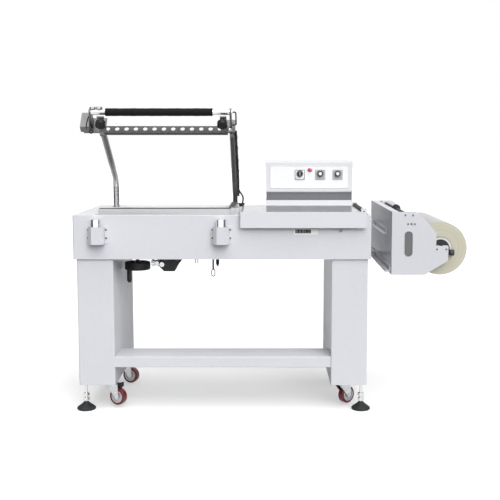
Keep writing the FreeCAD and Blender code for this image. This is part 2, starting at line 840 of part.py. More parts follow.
def make_jaws():
    front = block(front_jaw_left, corner_block_left, front_jaw_y, front_jaw_y + front_jaw_depth, deck_top, jaw_top)
    side = block(side_jaw_left, side_jaw_left + side_jaw_width, side_jaw_front, seal_back, deck_top, jaw_top)
    groove = jaw_top - jaw_groove
    half = jaw_pad_width / 2
    front_pad = block(front_jaw_left + pad_end_margin, corner_block_left - pad_end_margin / 2,
                      bar_centre_y - half, bar_centre_y + half, groove, pad_top)
    side_pad = block(side_seal_x - half, side_seal_x + half, side_jaw_front, seal_back - pad_end_margin,
                     groove, pad_top)
    corner = block(corner_block_left, corner_block_left + corner_block_width, corner_block_front,
                   corner_block_front + corner_block_depth, deck_top, deck_top + corner_block_height)
    middle = corner_block_left + corner_block_width / 2
    slot = block(middle - corner_slot / 2, middle + corner_slot / 2, corner_block_front,
                 corner_block_front + corner_slot, deck_top + corner_slot, deck_top + corner_block_height)
    add("jaw_rails", front.cut(front_pad), side.cut(side_pad), corner.cut(slot))
    add("jaw_pads", front_pad, side_pad)


def make_magnet(x):
    low = magnet_top - magnet_height
    foot = block(x - magnet_foot_width / 2, x + magnet_foot_width / 2, -magnet_stand_off, 0,
                 low, low + magnet_foot_height)
    return rod(magnet_radius, Vector(x, -magnet_stand_off, low), Z_AXIS, magnet_height).fuse(foot)


def cover_outline(x, z, inset):
    """The hat shape of a magnet cover seen from above, open towards the cabinet."""
    side = cover_width / 2 - inset
    front = cover_front_width / 2 - inset / 2
    depth = cover_depth - inset
    points = [(-side, 0), (-side, -cover_side_depth), (-front, -depth), (front, -depth),
              (side, -cover_side_depth), (side, 0)]
    return outline([Vector(x + u, v, z) for u, v in points])


def make_cover(x):
    top = deck_top - cover_top_drop
    low = top - cover_height
    shell = cover_outline(x, low, 0).extrude(Vector(0, 0, cover_height))
    flange = block(x - cover_flange_width / 2, x + cover_flange_width / 2, -cover_wall, 0, low, top)
    hollow = cover_outline(x, low + cover_wall, cover_wall).extrude(Vector(0, 0, cover_height))
    cover = shell.fuse(flange).cut(hollow)
    return drilled(cover, cover_screw_places(x), Y_AXIS)


def make_magnets():
    columns = (left_magnet_x, right_magnet_x)
    add("electromagnets", *[make_magnet(x) for x in columns])
    add("magnet_covers", *[make_cover(x) for x in columns])


# ------------------------------------------------------------------ work table, lift and handwheel
def make_table():
    under = table_top - table_thickness
    x0, x1 = well_left + table_gap, well_right - table_gap
    y0, y1 = well_front + table_gap, well_back - table_gap
    table = block(x0, x1, y0, y1, under - table_flange, table_top)
    wall = table_thickness
    add("work_table", table.cut(block(x0 + wall, x1 - wall, y0 + wall, y1 - wall, under - table_flange, under)))

    rods = [make_flanged_rod(lift_x, lift_y, screw_radius, cabinet_bottom - screw_below_floor, under)]
    rods += [make_flanged_rod(x, y, guide_radius, cabinet_bottom - guide_below_floor, under) for x, y in guide_stations]
    add("lift_rods", *rods)


def make_flanged_rod(x, y, radius, low, top):
    flange = rod(rod_flange_radius, Vector(x, y, top - rod_flange_height), Z_AXIS, rod_flange_height)
    return rod(radius, Vector(x, y, low), Z_AXIS, top - low).fuse(flange)


def make_gearbox():
    top = cabinet_bottom - housing_top_drop
    shoulder = cabinet_bottom - housing_shoulder_drop
    low = cabinet_bottom - housing_bottom_drop
    top_half = housing_top_width / 2
    low_half = housing_bottom_width / 2
    shape = [(-top_half, top), (-top_half, shoulder), (-low_half, low), (low_half - housing_lean / 2, low),
             (top_half - housing_lean, shoulder), (top_half, top)]
    housing = plate_xz([(lift_x + u, z) for u, z in shape], lift_y - housing_depth / 2, lift_y + housing_depth / 2)
    for sx in (-1, 1):
        for sy in (-1, 1):
            foot = Vector(lift_x + sx * housing_post_x, lift_y + sy * housing_post_y, top)
            housing = housing.fuse(rod(housing_post_radius, foot, Z_AXIS, housing_top_drop))
    axis = Vector(lift_x, lift_y, low)
    seat = Vector(lift_x, lift_y, low + housing_floor)
    housing = housing.cut(rod(screw_radius + lift_bore_gap, axis, Z_AXIS, housing_bottom_drop))
    housing = housing.cut(rod(nut_radius + running_clearance, seat, Z_AXIS, housing_bottom_drop))
    stub_start = Vector(lift_x - top_half, lift_y, cabinet_bottom - stub_drop)
    stub = rod(stub_radius, stub_start, X_AXIS * -1, stub_length)
    for place in stub_ring_places:
        ring_start = stub_start - X_AXIS * place
        stub = stub.fuse(rod(stub_ring_radius, ring_start, X_AXIS * -1, stub_ring_width))
    add("lift_gearbox", housing, stub)

    nut_low = low + housing_floor + moving_gap
    nut = rod(nut_radius, Vector(lift_x, lift_y, nut_low), Z_AXIS, sprocket_low - nut_low)
    nut = nut.fuse(rod(sprocket_radius, Vector(lift_x, lift_y, sprocket_low), Z_AXIS, sprocket_thickness))
    add("lift_nut", nut.cut(rod(screw_radius + running_clearance, axis, Z_AXIS, housing_bottom_drop)))

    lift_centre = Vector(lift_x, lift_y, 0)
    wheel_centre = Vector(handwheel_x, handwheel_y, 0)
    inner_radius = sprocket_radius + sprocket_gap
    chain_low = sprocket_z - chain_height / 2
    outer = capsule(inner_radius + chain_thickness, wheel_centre, lift_centre, chain_low, chain_height)
    add("drive_chain", outer.cut(capsule(inner_radius, wheel_centre, lift_centre, chain_low, chain_height)))


def make_handwheel():
    low = cabinet_bottom - handwheel_bottom_drop
    centre = Vector(handwheel_x, handwheel_y, low)
    rim = ring(handwheel_radius, handwheel_radius - handwheel_rim_width, centre, Z_AXIS, handwheel_rim_height)
    rim = rim.makeFillet(handwheel_rim_fillet, circle_edges(rim))
    web = rod(handwheel_radius - handwheel_rim_width / 2, centre, Z_AXIS, handwheel_web)
    web.translate(Z_AXIS * ((handwheel_rim_height - handwheel_web) / 2))
    hub = rod(handwheel_hub_radius, centre, Z_AXIS, handwheel_rim_height)
    collar_low = cabinet_bottom + sheet + bush_flange_height + moving_gap
    spindle = rod(spindle_radius, centre, Z_AXIS, collar_low + spindle_collar_height - low)
    sprocket = rod(sprocket_radius, Vector(handwheel_x, handwheel_y, sprocket_low), Z_AXIS, sprocket_thickness)
    collar = rod(spindle_collar_radius, Vector(handwheel_x, handwheel_y, collar_low), Z_AXIS, spindle_collar_height)
    grip_low = low - moving_gap - grip_length
    bolt_low = grip_low - moving_gap - grip_bolt_head
    bolt_foot = Vector(grip_x, handwheel_y, bolt_low)
    bolt = rod(grip_bolt_radius, bolt_foot, Z_AXIS, low + handwheel_rim_height / 2 - bolt_low)
    bolt_head = rod(grip_bolt_head_radius, bolt_foot, Z_AXIS, grip_bolt_head)
    add("handwheel", rim.fuse([web, hub, spindle, sprocket, collar, bolt, bolt_head]))
    grip = rod(grip_radius, Vector(grip_x, handwheel_y, grip_low), Z_AXIS, grip_length)
    grip = grip.makeFillet(grip_fillet, circle_edges(grip))
    add("handwheel_grip", grip.cut(rod(grip_bolt_radius + running_clearance, bolt_foot, Z_AXIS, 2 * grip_length)))


# ------------------------------------------------------------------ sealing arm (drawn closed)
def turned_open(shape):
    moved = shape.copy()
    moved.rotate(Vector(0, pivot_y, pivot_z), X_AXIS, -arm_open_angle)
    return moved


def tube_route(x, lift):
    """Pivot, bend and front end of an arm tube, or of a cable lying a given lift above its middle."""
    pivot = Vector(x, pivot_y, pivot_z)
    bend = Vector(x, pivot_y - tube_bend_forward, pivot_z + tube_bend_rise)
    front = Vector(x, plate_back + tube_foot_depth / 2, pivot_z + tube_front_rise)
    lower = (bend - pivot).normalize()
    upper = (front - bend).normalize()
    lower_side = Vector(0, lower.z, -lower.y)
    upper_side = Vector(0, upper.z, -upper.y)
    half_turn = lower.getAngle(upper) / 2
    middle_side = (lower_side + upper_side).normalize()
    return [pivot + lower_side * lift, bend + middle_side * (lift / math.cos(half_turn)), front + upper_side * lift]


def make_arm_tube(x, radius, foot_low):
    pivot, bend, front = tube_route(x, 0)
    rise = (bend - pivot).normalize()
    beyond = front + (front - bend).normalize() * tube_foot_depth
    tube = bent_tube(radius, [pivot, bend, front], tube_bend_radius)
    bore = bent_tube(radius - arm_tube_wall, [pivot + rise * hub_radius, bend, beyond], tube_bend_radius)
    foot = block(x - radius, x + radius, plate_back, plate_back + tube_foot_depth,
                 foot_low, foot_low + tube_foot_height)
    hub_start = Vector(x - radius, pivot_y, pivot_z)
    arm = tube.fuse([foot, rod(hub_radius, hub_start, X_AXIS, 2 * radius)]).cut(bore)
    return arm.cut(rod(pivot_shaft_radius, hub_start, X_AXIS, 2 * radius))


def make_side_posts():
    """Posts between the side seal bar and the right tube."""
    pivot, bend, front = tube_route(right_tube_x, 0)
    posts = []
    for y in side_post_places:
        foot = Vector(right_tube_x, y, bar_bottom + side_bar_thickness)
        tube_z = front.z + (bend.z - front.z) * (y - front.y) / (bend.y - front.y)
        posts.append(rod(side_post_radius, foot, Z_AXIS, tube_z - foot.z))
    return posts


def make_pivot_shaft():
    x0 = left_tube_x - left_tube_radius - pivot_shaft_overhang
    x1 = right_tube_x + right_tube_radius
    shaft = rod(pivot_shaft_radius, Vector(x0, pivot_y, pivot_z), X_AXIS, x1 - x0)
    crank_x0 = crank_x - crank_width / 2
    hub = rod(crank_hub_radius, Vector(crank_x0, pivot_y, pivot_z), X_AXIS, crank_width)
    arm = block(crank_x0, crank_x0 + crank_width, pivot_y, pivot_y + crank_length,
                pivot_z - crank_end_radius, pivot_z + crank_end_radius)
    nose = rod(crank_end_radius, Vector(crank_x0, pivot_y + crank_length, pivot_z), X_AXIS, crank_width)
    crank = arm.fuse([nose, hub])
    crank.rotate(Vector(0, pivot_y, pivot_z), X_AXIS, arm_open_angle - crank_rest_drop)
    return shaft.fuse(crank)


def make_front_bar():
    bar = block(bar_left, bar_right, bar_front, bar_front + bar_sheet, bar_bottom, bar_top)
    bar = bar.fuse(block(bar_left, bar_right, bar_front, bar_back, bar_bottom, bar_bottom + bar_sheet))
    middle = (bar_left + bar_right) / 2
    hole_z = bar_bottom + (bar_face_height + bar_sheet) / 2
    for i in range(bar_hole_count):
        x = middle + (i - (bar_hole_count - 1) / 2) * bar_hole_pitch
        bar = bar.cut(rod(bar_hole_radius, Vector(x, bar_front, hole_z), Y_AXIS, bar_sheet))
    return bar.removeSplitter()


def make_blades():
    """Sealing blades on their insulating strips, under the front bar and under the side bar."""
    strip_low = bar_bottom - insulator_height
    blade_low = pad_top + moving_gap
    front_x0, front_x1 = front_jaw_left + pad_end_margin, bar_right
    side_y0, side_y1 = side_jaw_front, side_bar_back
    pieces = []
    for width, low, high in ((insulator_width, strip_low, bar_bottom), (blade_width, blade_low, strip_low)):
        pieces.append(block(front_x0, front_x1, bar_centre_y - width / 2, bar_centre_y + width / 2, low, high))
        pieces.append(block(side_seal_x - width / 2, side_seal_x + width / 2, side_y0, side_y1, low, high))
    front_strip, side_strip, front_blade, side_blade = pieces
    return [front_strip.fuse(front_blade), side_strip.fuse(side_blade)]


def make_handle_arm(x0, x1):
    """The cheek that runs forward from an end plate to the ring round the handle tube."""
    shape = [(plate_front, plate_low + handle_arm_low), (plate_front, plate_low + handle_arm_high),
             (handle_y, handle_z + handle_ring_radius), (handle_y, handle_z - handle_ring_radius)]
    ring_start = Vector(x0, handle_y, handle_z)
    cheek = plate_yz(shape, x0, x1).fuse(rod(handle_ring_radius, ring_start, X_AXIS, x1 - x0))
    return cheek.cut(rod(handle_tube_radius, ring_start, X_AXIS, x1 - x0))


def make_disc_arm(reach_x, tab_x):
    foot = block(reach_x[0], reach_x[1], -magnet_stand_off - disc_arm_reach, bar_front,
                 bar_bottom, bar_bottom + disc_arm_thickness)
    tab_low = bar_bottom + disc_arm_thickness
    tab = block(tab_x[0], tab_x[1], bar_front - disc_arm_thickness, bar_front, tab_low, tab_low + disc_tab_height)
    return foot.fuse(tab).removeSplitter()


def make_end_brackets():
    left_x1 = left_tube_x + left_tube_radius
    left = block(left_plate_left, left_x1, plate_front, plate_back, plate_low, plate_low + left_plate_height)
    corner = [e for e in left.Edges if e.BoundBox.XMax < left_plate_left + 1 and e.BoundBox.ZMin > plate_low + 1
              and e.BoundBox.YLength > 1]
    left = left.makeFillet(left_plate_corner, corner)
    left = left.fuse(make_handle_arm(handle_left, handle_left + left_handle_arm_width))
    right_x1 = right_tube_x + right_tube_radius + right_plate_overhang
    right = block(right_plate_left, right_x1, plate_front, plate_back, plate_low, plate_low + right_plate_height)
    right = right.fuse(make_handle_arm(handle_right - right_handle_arm_width, handle_right))
    return [left, right, make_disc_arm(left_disc_arm, left_disc_tab), make_disc_arm(right_disc_arm, right_disc_tab)]


def make_armature(x):
    low = magnet_top + disc_lift
    post_low = low + disc_height
    disc = rod(disc_radius, Vector(x, -magnet_stand_off, low), Z_AXIS, disc_height)
    return disc.fuse(rod(disc_post_radius, Vector(x, -magnet_stand_off, post_low), Z_AXIS, bar_bottom - post_low))


def make_arm_fasteners():
    fasteners = []
    for x in bar_pin_positions:
        foot = Vector(x, bar_front + bar_sheet / 2, bar_top)
        head = foot + Z_AXIS * (bar_pin_height - bar_pin_head)
        fasteners.append(rod(bar_pin_radius, foot, Z_AXIS, bar_pin_height).fuse(
            rod(bar_pin_head, head, Z_AXIS, bar_pin_head)))
    right_bolt = Vector(right_tube_x - plate_bolt_radius, plate_front, plate_low + right_bolt_rise)
    left_bolt = Vector(left_plate_left + left_bolt_inset, plate_front, plate_low + left_plate_height / 2)
    for place in (right_bolt, left_bolt):
        fasteners.append(rod(plate_bolt_radius, place, Y_AXIS * -1, plate_bolt_height))
    fasteners.append(rod(plate_bolt_radius, Vector(handle_right, handle_y, handle_z), X_AXIS, plate_bolt_height))
    return fasteners


def make_arm_cables():
    """A cable behind the right tube, one along its outer side, and the loop into the handle tube."""
    stand_off = right_tube_radius + arm_cable_radius + cable_gap
    cables = []
    for aside, lift in ((0, stand_off), (stand_off, 0)):
        low, bend, front = tube_route(right_tube_x + aside, lift)
        start = low + (bend - low).normalize() * arm_cable_start
        along = (front - bend).normalize()
        end = front + along * ((plate_back + cable_end_gap - front.y) / along.y)
        cables.append(bent_tube(arm_cable_radius, [start, bend, end], tube_bend_radius + lift))
    start = Vector(handle_right + plate_bolt_height, handle_y, handle_z)
    out = Vector(handle_right + plate_bolt_height + handle_cable_loop, handle_y, handle_z)
    back = Vector(out.x, plate_front - handle_cable_loop, handle_z - handle_cable_loop)
    end = Vector(handle_right, back.y, back.z)
    cables.append(bent_tube(handle_cable_radius, [start, out, back, end], handle_cable_bend))
    return cables


def make_arm():
    right_tube = make_arm_tube(right_tube_x, right_tube_radius, bar_bottom + side_bar_thickness)
    side_half = side_bar_width / 2
    side_bar = block(side_seal_x - side_half, side_seal_x + side_half, plate_back, side_bar_back,
                     bar_bottom, bar_bottom + side_bar_thickness)
    end_box = rounded(block(end_box_left, end_box_left + end_box_width, plate_front - end_box_depth, plate_front,
                            plate_low, plate_low + end_box_height), end_box_radius, Z_AXIS)
    tube_start = Vector(handle_left, handle_y, handle_z)
    foam_start = Vector(foam_left, handle_y, handle_z)
    foam = ring(foam_radius, handle_tube_radius, foam_start, X_AXIS, foam_right - foam_left)
    foam = foam.makeFillet(foam_fillet, [e for e in circle_edges(foam) if e.Curve.Radius > handle_tube_radius + 1])
    pieces = {
        "pivot_shaft": [make_pivot_shaft()],
        "left_arm_tube": [make_arm_tube(left_tube_x, left_tube_radius, plate_low)],
        "right_arm_tube": [right_tube.fuse(make_side_posts())],
        "seal_bars": [make_front_bar(), side_bar],
        "seal_blades": make_blades(),
        "end_box": [end_box],
        "end_brackets": make_end_brackets(),
        "handle_tube": [ring(handle_tube_radius, handle_tube_radius - handle_tube_wall, tube_start, X_AXIS,
                             handle_right - handle_left)],
        "foam_grip": [foam],
        "armature_discs": [make_armature(x) for x in (left_magnet_x, right_magnet_x)],
        "arm_fasteners": make_arm_fasteners(),
        "arm_cables": make_arm_cables(),
    }
    for name, solids in pieces.items():
        add(name, *[turned_open(solid) for solid in solids])


def make_pivot_bearings():
    """Blocks that hang under the deck on both sides of the well."""
    blocks = []
    half = bearing_block_depth / 2
    for x in (left_bearing_x, right_bearing_x):
        x0 = x - bearing_block_width / 2
        body = block(x0, x0 + bearing_block_width, pivot_y - half, pivot_y + half,
                     pivot_z - bearing_block_drop, deck_bottom)
        bore_start = Vector(x0, pivot_y, pivot_z)
        blocks.append(body.cut(rod(pivot_shaft_radius + running_clearance, bore_start, X_AXIS, bearing_block_width)))
    add("pivot_bearings", *blocks)


def make_spring():
    top = crank_pin_z - crank_end_radius - moving_gap
    start = Vector(crank_x, crank_pin_y, spring_low)
    add("return_spring", ring(spring_radius, spring_radius - spring_wire, start, Z_AXIS, top - spring_low))


def make_eye_rod():
    foot = Vector(crank_x, crank_pin_y, eye_rod_low)
    shank = rod(eye_rod_radius, foot, Z_AXIS, spring_low - eye_rod_low)
    eye = obround(crank_x, eye_rod_low - eye_height / 2, eye_width, eye_height,
                  crank_pin_y - eye_wire / 2, crank_pin_y + eye_wire / 2)
    hole = obround(crank_x, eye_rod_low - eye_height / 2, eye_width - 2 * eye_wire, eye_height - 2 * eye_wire,
                   crank_pin_y - eye_wire, crank_pin_y + eye_wire)
    bolt = shank.fuse(eye.cut(hole))
    for z in (cabinet_bottom - eye_nut_height, cabinet_bottom + sheet):
        bolt = bolt.fuse(rod(eye_nut_radius, Vector(crank_x, crank_pin_y, z), Z_AXIS, eye_nut_height))
    seat = Vector(crank_x, crank_pin_y, spring_low - spring_seat_height)
    add("eye_rod", bolt.fuse(rod(spring_radius, seat, Z_AXIS, spring_seat_height)))


def make_glands():
    funnel = Part.makeCone(gland_foot_radius, gland_top_radius, gland_height, Vector(gland_x, gland_y, deck_top), Z_AXIS)
    foot = Vector(gland_x, gland_y, deck_top)
    tail = bent_tube(tail_radius, [foot + Vector(*offset) for offset in tail_route], tail_bend)
    low = Vector(floor_gland_x, floor_gland_y, cabinet_bottom - floor_gland_drop)
    stub = rod(floor_gland_radius, low, Z_AXIS, floor_gland_drop + sheet)
    tip = rod(floor_gland_tip_radius, low, Z_AXIS * -1, floor_gland_tip)
    add("cable_gland", funnel.fuse(tail), stub.fuse(tip))


# ------------------------------------------------------------------ feed tray
def make_tray():
    front = -tray_front
    lug_left = tray_roller_x - tray_lug_width / 2
    plate = block(tray_left, lug_left - moving_gap, front, tray_back, tray_top - tray_sheet, tray_top)
    lip = block(tray_left, tray_right, front, front + tray_sheet, tray_top - tray_lip_height, tray_top)
    left = block(tray_left, tray_left + tray_sheet, front, tray_back, tray_top - tray_sheet - tray_flange, tray_top)
    back = block(tray_left, tray_right, tray_back - tray_lug_thickness, tray_back, tray_top - tray_sheet - tray_flange,
                 tray_top)
    for x in rail_places():
        back = back.cut(block(x - rail_notch_gap, x + rail_width + rail_notch_gap, tray_back - tray_lug_thickness,
                              tray_back, deck_top, tray_top - tray_sheet))
    lugs = []
    for y0 in (front + tray_sheet, tray_back - tray_lug_thickness):
        lugs.append(block(lug_left, lug_left + tray_lug_width, y0, y0 + tray_lug_thickness,
                          tray_top + tray_lug_rise - tray_lug_height, tray_top + tray_lug_rise))
    tray = plate.fuse([lip, left, back] + lugs).removeSplitter()
    axis = Vector(tray_roller_x, front + tray_sheet, tray_roller_z)
    length = tray_back - axis.y
    add("feed_tray", tray.cut(rod(tray_roller_pin + running_clearance, axis, Y_AXIS, length)))
    start = axis + Y_AXIS * (tray_lug_thickness + moving_gap)
    barrel = rod(tray_roller_radius, start, Y_AXIS, length - 2 * (tray_lug_thickness + moving_gap))
    pin = rod(tray_roller_pin, axis + Y_AXIS * moving_gap, Y_AXIS, length - moving_gap)
    add("tray_roller", barrel.fuse(pin))


# ------------------------------------------------------------------ control box
def on_panel(shape):
    """Move a shape drawn on the XZ plane (y = 0 outward face, z up the face) on to the box front."""
    moved = shape.copy()
    moved.rotate(ORIGIN, X_AXIS, panel_tilt())
    moved.translate(Vector(0, box_front, box_bottom))
    return moved


def panel_tilt():
    return -math.degrees(math.atan2(box_lean, box_height))


def panel_point(x, up, out):
    """A point on the box front, up the face and out from it, in the working frame."""
    tilt = math.radians(-panel_tilt())
    return Vector(x, box_front + up * math.sin(tilt) - out * math.cos(tilt),
                  box_bottom + up * math.cos(tilt) + out * math.sin(tilt))


def make_control_box():
    box_top = box_bottom + box_height
    shape = [(box_front, box_bottom), (box_back, box_bottom), (box_back, box_top), (box_front + box_lean, box_top)]
    outer = rounded(plate_yz(shape, box_left, box_right), box_corner_radius, X_AXIS)
    inner_front = box_front + box_front_wall
    inner_back = box_back - box_sheet
    inner_shape = [(inner_front, box_bottom + box_sheet), (inner_back, box_bottom + box_sheet),
                   (inner_back, box_top - box_sheet), (inner_front + box_lean, box_top - box_sheet)]
    inner = rounded(plate_yz(inner_shape, box_left + box_sheet, box_right - box_sheet),
                    box_corner_radius - box_sheet, X_AXIS)
    shell = outer.cut(inner)
    shaft_up = instrument_height + knob_raise
    for x in (switch_x, left_timer_x, right_timer_x):
        bore = rod(control_shaft_radius + running_clearance, Vector(x, 0, shaft_up), Y_AXIS, box_front_wall + box_lean)
        shell = shell.cut(on_panel(bore))
    plinth = block(box_left, box_right, box_front, box_back, deck_top, deck_top + plinth_height)
    neck = block(box_left + box_sheet, box_right - box_sheet, box_front + neck_setback, box_back - box_sheet,
                 deck_top + plinth_height, box_bottom)
    add("control_box", shell, plinth)
    add("control_base", neck)

    panel = block(box_left + panel_margin_x, box_right - panel_margin_x, -panel_thickness, 0,
                  panel_bottom, panel_bottom + panel_height)
    panel = rounded(panel, panel_corner_radius, Y_AXIS)
    bezels = []
    half = plate_size / 2
    face = -panel_thickness
    for x in (switch_x, left_timer_x, right_timer_x):
        plate = block(x - half, x + half, face - plate_thickness, face, instrument_height - half, instrument_height + half)
        plate = rounded(plate, plate_corner_radius, Y_AXIS)
        hole = rod(control_shaft_radius + running_clearance, Vector(x, face - plate_thickness, shaft_up),
                   Y_AXIS, plate_thickness + panel_thickness)
        bezels.append(plate.cut(hole))
        panel = panel.cut(hole)
    lamp = rod(lamp_radius, Vector(lamp_x, face - lamp_height, instrument_height + lamp_raise), Y_AXIS, lamp_height)
    lamp = lamp.makeFillet(lamp_fillet, [e for e in circle_edges(lamp) if e.BoundBox.YMax < face - lamp_height / 2])
    add("control_panel", *[on_panel(s) for s in [panel] + bezels + [lamp]])

    knob_face = face - plate_thickness - moving_gap
    shaft_length = plate_thickness + panel_thickness + box_front_wall + moving_gap
    for name, x in (("switch_knob", switch_x), ("timer_dial_left", left_timer_x), ("timer_dial_right", right_timer_x)):
        shaft = rod(control_shaft_radius, Vector(x, knob_face, shaft_up), Y_AXIS, shaft_length)
        if name == "switch_knob":
            skirt_face = knob_face - switch_knob_height
            skirt = rod(switch_knob_radius, Vector(x, skirt_face, shaft_up), Y_AXIS, switch_knob_height)
            bar = block(x - switch_bar_width / 2, x + switch_bar_width / 2, skirt_face - switch_bar_height, skirt_face,
                        shaft_up - switch_bar_length / 2, shaft_up + switch_bar_length / 2)
            knob = skirt.fuse(rounded(bar, switch_bar_fillet, Z_AXIS))
        else:
            knob = rod(dial_radius, Vector(x, knob_face - dial_height, shaft_up), Y_AXIS, dial_height)
            flat = block(x - dial_radius, x - dial_flat, knob_face - dial_height, knob_face,
                         shaft_up - dial_radius, shaft_up + dial_radius)
            knob = knob.cut(flat)
        add(name, on_panel(knob.fuse(shaft)))


# ------------------------------------------------------------------ film unit
def film_outline():
    """Corner points of the end plates."""
    corners = [(0, 0), (film_foot_width, 0), (film_lug_width, film_lug_bottom), (film_lug_width, film_lug_top),
               (film_shoulder_width, film_lug_top), (film_shoulder_width, film_shoulder_height),
               (film_top_width + film_chamfer_width, film_height - film_chamfer_drop),
               (film_top_width, film_height), (0, film_height)]
    return [(film_left + x, film_bottom + z) for x, z in corners]


def film_screw_places():
    """Screws of the front bearing, the idler's plate and the roll keeper, on the front plate's face."""
    bearing_x = film_left + perforator_x
    bearing_z = film_top - perforator_drop
    spots = [(bearing_x + side * bearing_screw_spacing / 2, bearing_z) for side in (-1, 1)]
    below = idler_radius + screw_head_radius
    spots += [(film_left + idler_x + side * below, film_bottom + idler_z) for side in (-1, 1)]
    spots += [(roll_axis_x + side * keeper_screw_spacing / 2, roll_axis_z) for side in (-1, 1)]
    return [Vector(x, film_front_y, z) for x, z in spots]


def angle_screw_spots():
    return [Vector(film_left - angle_sheet, film_back_y - y, z + angle_height / 2)
            for z in (upper_angle_z, lower_angle_z) for y in angle_screw_setbacks]


def obround(centre_x, centre_z, width, height, y0, y1):
    radius = width / 2
    reach = height / 2 - radius
    body = block(centre_x - radius, centre_x + radius, y0, y1, centre_z - reach, centre_z + reach)
    ends = [rod(radius, Vector(centre_x, y0, centre_z + side * reach), Y_AXIS, y1 - y0) for side in (-1, 1)]
    return body.fuse(ends).removeSplitter()


def make_angle(z, length, spacer_y, spacer_x):
    """An angle on the side panel, with the spacer that carries it off the machine's end."""
    angle = block(film_left - angle_sheet, film_left, film_back_y - length, film_back_y, z, z + angle_height)
    angle = angle.fuse(block(film_left - angle_leg, film_left, film_back_y - length, film_back_y, z, z + angle_sheet))
    spacer = block(spacer_x, film_left - angle_sheet, spacer_y, spacer_y + spacer_depth,
                   z + angle_sheet, z + angle_sheet + spacer_height)
    return angle.removeSplitter(), spacer


def make_film_frame():
    front_y1 = film_front_y + film_plate
    back_y0 = film_back_y - film_plate
    slot = obround(film_left + slot_x, film_bottom + slot_z, slot_width, slot_height, film_front_y, film_back_y)
    idler_axis = Vector(film_left + idler_x, film_front_y, film_bottom + idler_z)
    idler_bore = rod(idler_pin_radius + running_clearance, idler_axis, Y_AXIS, film_length)
    shaft_axis = Vector(film_left + perforator_x, front_y1, film_top - perforator_drop)
    shaft_bore = rod(perforator_shaft_radius + running_clearance, shaft_axis, Y_AXIS, back_y0 - front_y1)
    seat_radius = roll_shaft_radius + running_clearance
    keeper_top = roll_axis_z + keeper_top_rise
    seat = rod(seat_radius, Vector(roll_axis_x, front_y1, roll_axis_z), Y_AXIS, back_y0 - front_y1)
    seat = seat.fuse(block(roll_axis_x - seat_radius, roll_axis_x + seat_radius, front_y1, back_y0,
                           roll_axis_z, keeper_top))
    plates = [plate_xz(film_outline(), y0, y0 + film_plate).cut(slot).cut(idler_bore)
              for y0 in (film_front_y, back_y0)]
    plates[0] = drilled(plates[0], film_screw_places(), Y_AXIS)
    bearings = []
    keepers = []
    bearing_x0 = shaft_axis.x - bearing_width / 2
    keeper_x0 = roll_axis_x - keeper_width / 2
    for bearing_y, keeper_y in ((front_y1, front_y1), (back_y0 - bearing_thickness, back_y0 - keeper_thickness)):
        bearings.append(block(bearing_x0, bearing_x0 + bearing_width, bearing_y, bearing_y + bearing_thickness,
                              film_top - bearing_height, film_top).cut(shaft_bore))
        keepers.append(block(keeper_x0, keeper_x0 + keeper_width, keeper_y, keeper_y + keeper_thickness,
                             keeper_top - keeper_height, keeper_top).cut(seat))
    bearings[0] = drilled(bearings[0], film_screw_places(), Y_AXIS)
    keepers[0] = drilled(keepers[0], film_screw_places(), Y_AXIS)
    keepers[0] = keepers[0].cut(rod(lock_stud_radius + running_clearance, lock_stud_start(), X_AXIS, lock_stud_depth))
    panel = block(film_left, film_left + film_plate, front_y1, back_y0, film_bottom, film_top)
    panel = panel.fuse(block(film_left, film_left + film_flange, front_y1, back_y0, film_top - film_plate, film_top))
    tie_start = Vector(film_left + tie_rod_x, front_y1, film_bottom + tie_rod_z)
    tie_rod = rod(tie_rod_radius, tie_start, Y_AXIS, back_y0 - front_y1)
    upper_angle = make_angle(upper_angle_z, upper_angle_length, film_back_y - upper_spacer_setback, cabinet_half)
    lower_angle = make_angle(lower_angle_z, lower_angle_length, film_back_y - lower_spacer_setback, leg_outer)
    angles = [drilled(piece, angle_screw_spots(), X_AXIS) for piece in upper_angle + lower_angle]
    panel = drilled(panel.removeSplitter(), [place + X_AXIS * angle_sheet for place in angle_screw_spots()], X_AXIS)
    add("film_frame", *(plates + [panel, tie_rod] + bearings + keepers + angles))


def lock_stud_start():
    """Inner end of the lock knob's stud, in the front keeper under the roll shaft."""
    return Vector(roll_axis_x + keeper_width / 2 - lock_stud_depth,
                  film_front_y + film_plate + keeper_thickness / 2, roll_axis_z - lock_stud_drop)


def make_lock_knob():
    start = lock_stud_start()
    knob_start = start + X_AXIS * (lock_stud_depth + lock_knob_stand_off)
    knob = rod(lock_knob_radius, knob_start, X_AXIS, lock_knob_length)
    knob = knob.makeFillet(lock_knob_fillet, circle_edges(knob))
    stud = rod(lock_stud_radius, start, X_AXIS, lock_stud_depth + lock_knob_stand_off + lock_knob_length / 2)
    add("roll_lock_knob", knob.fuse(stud))


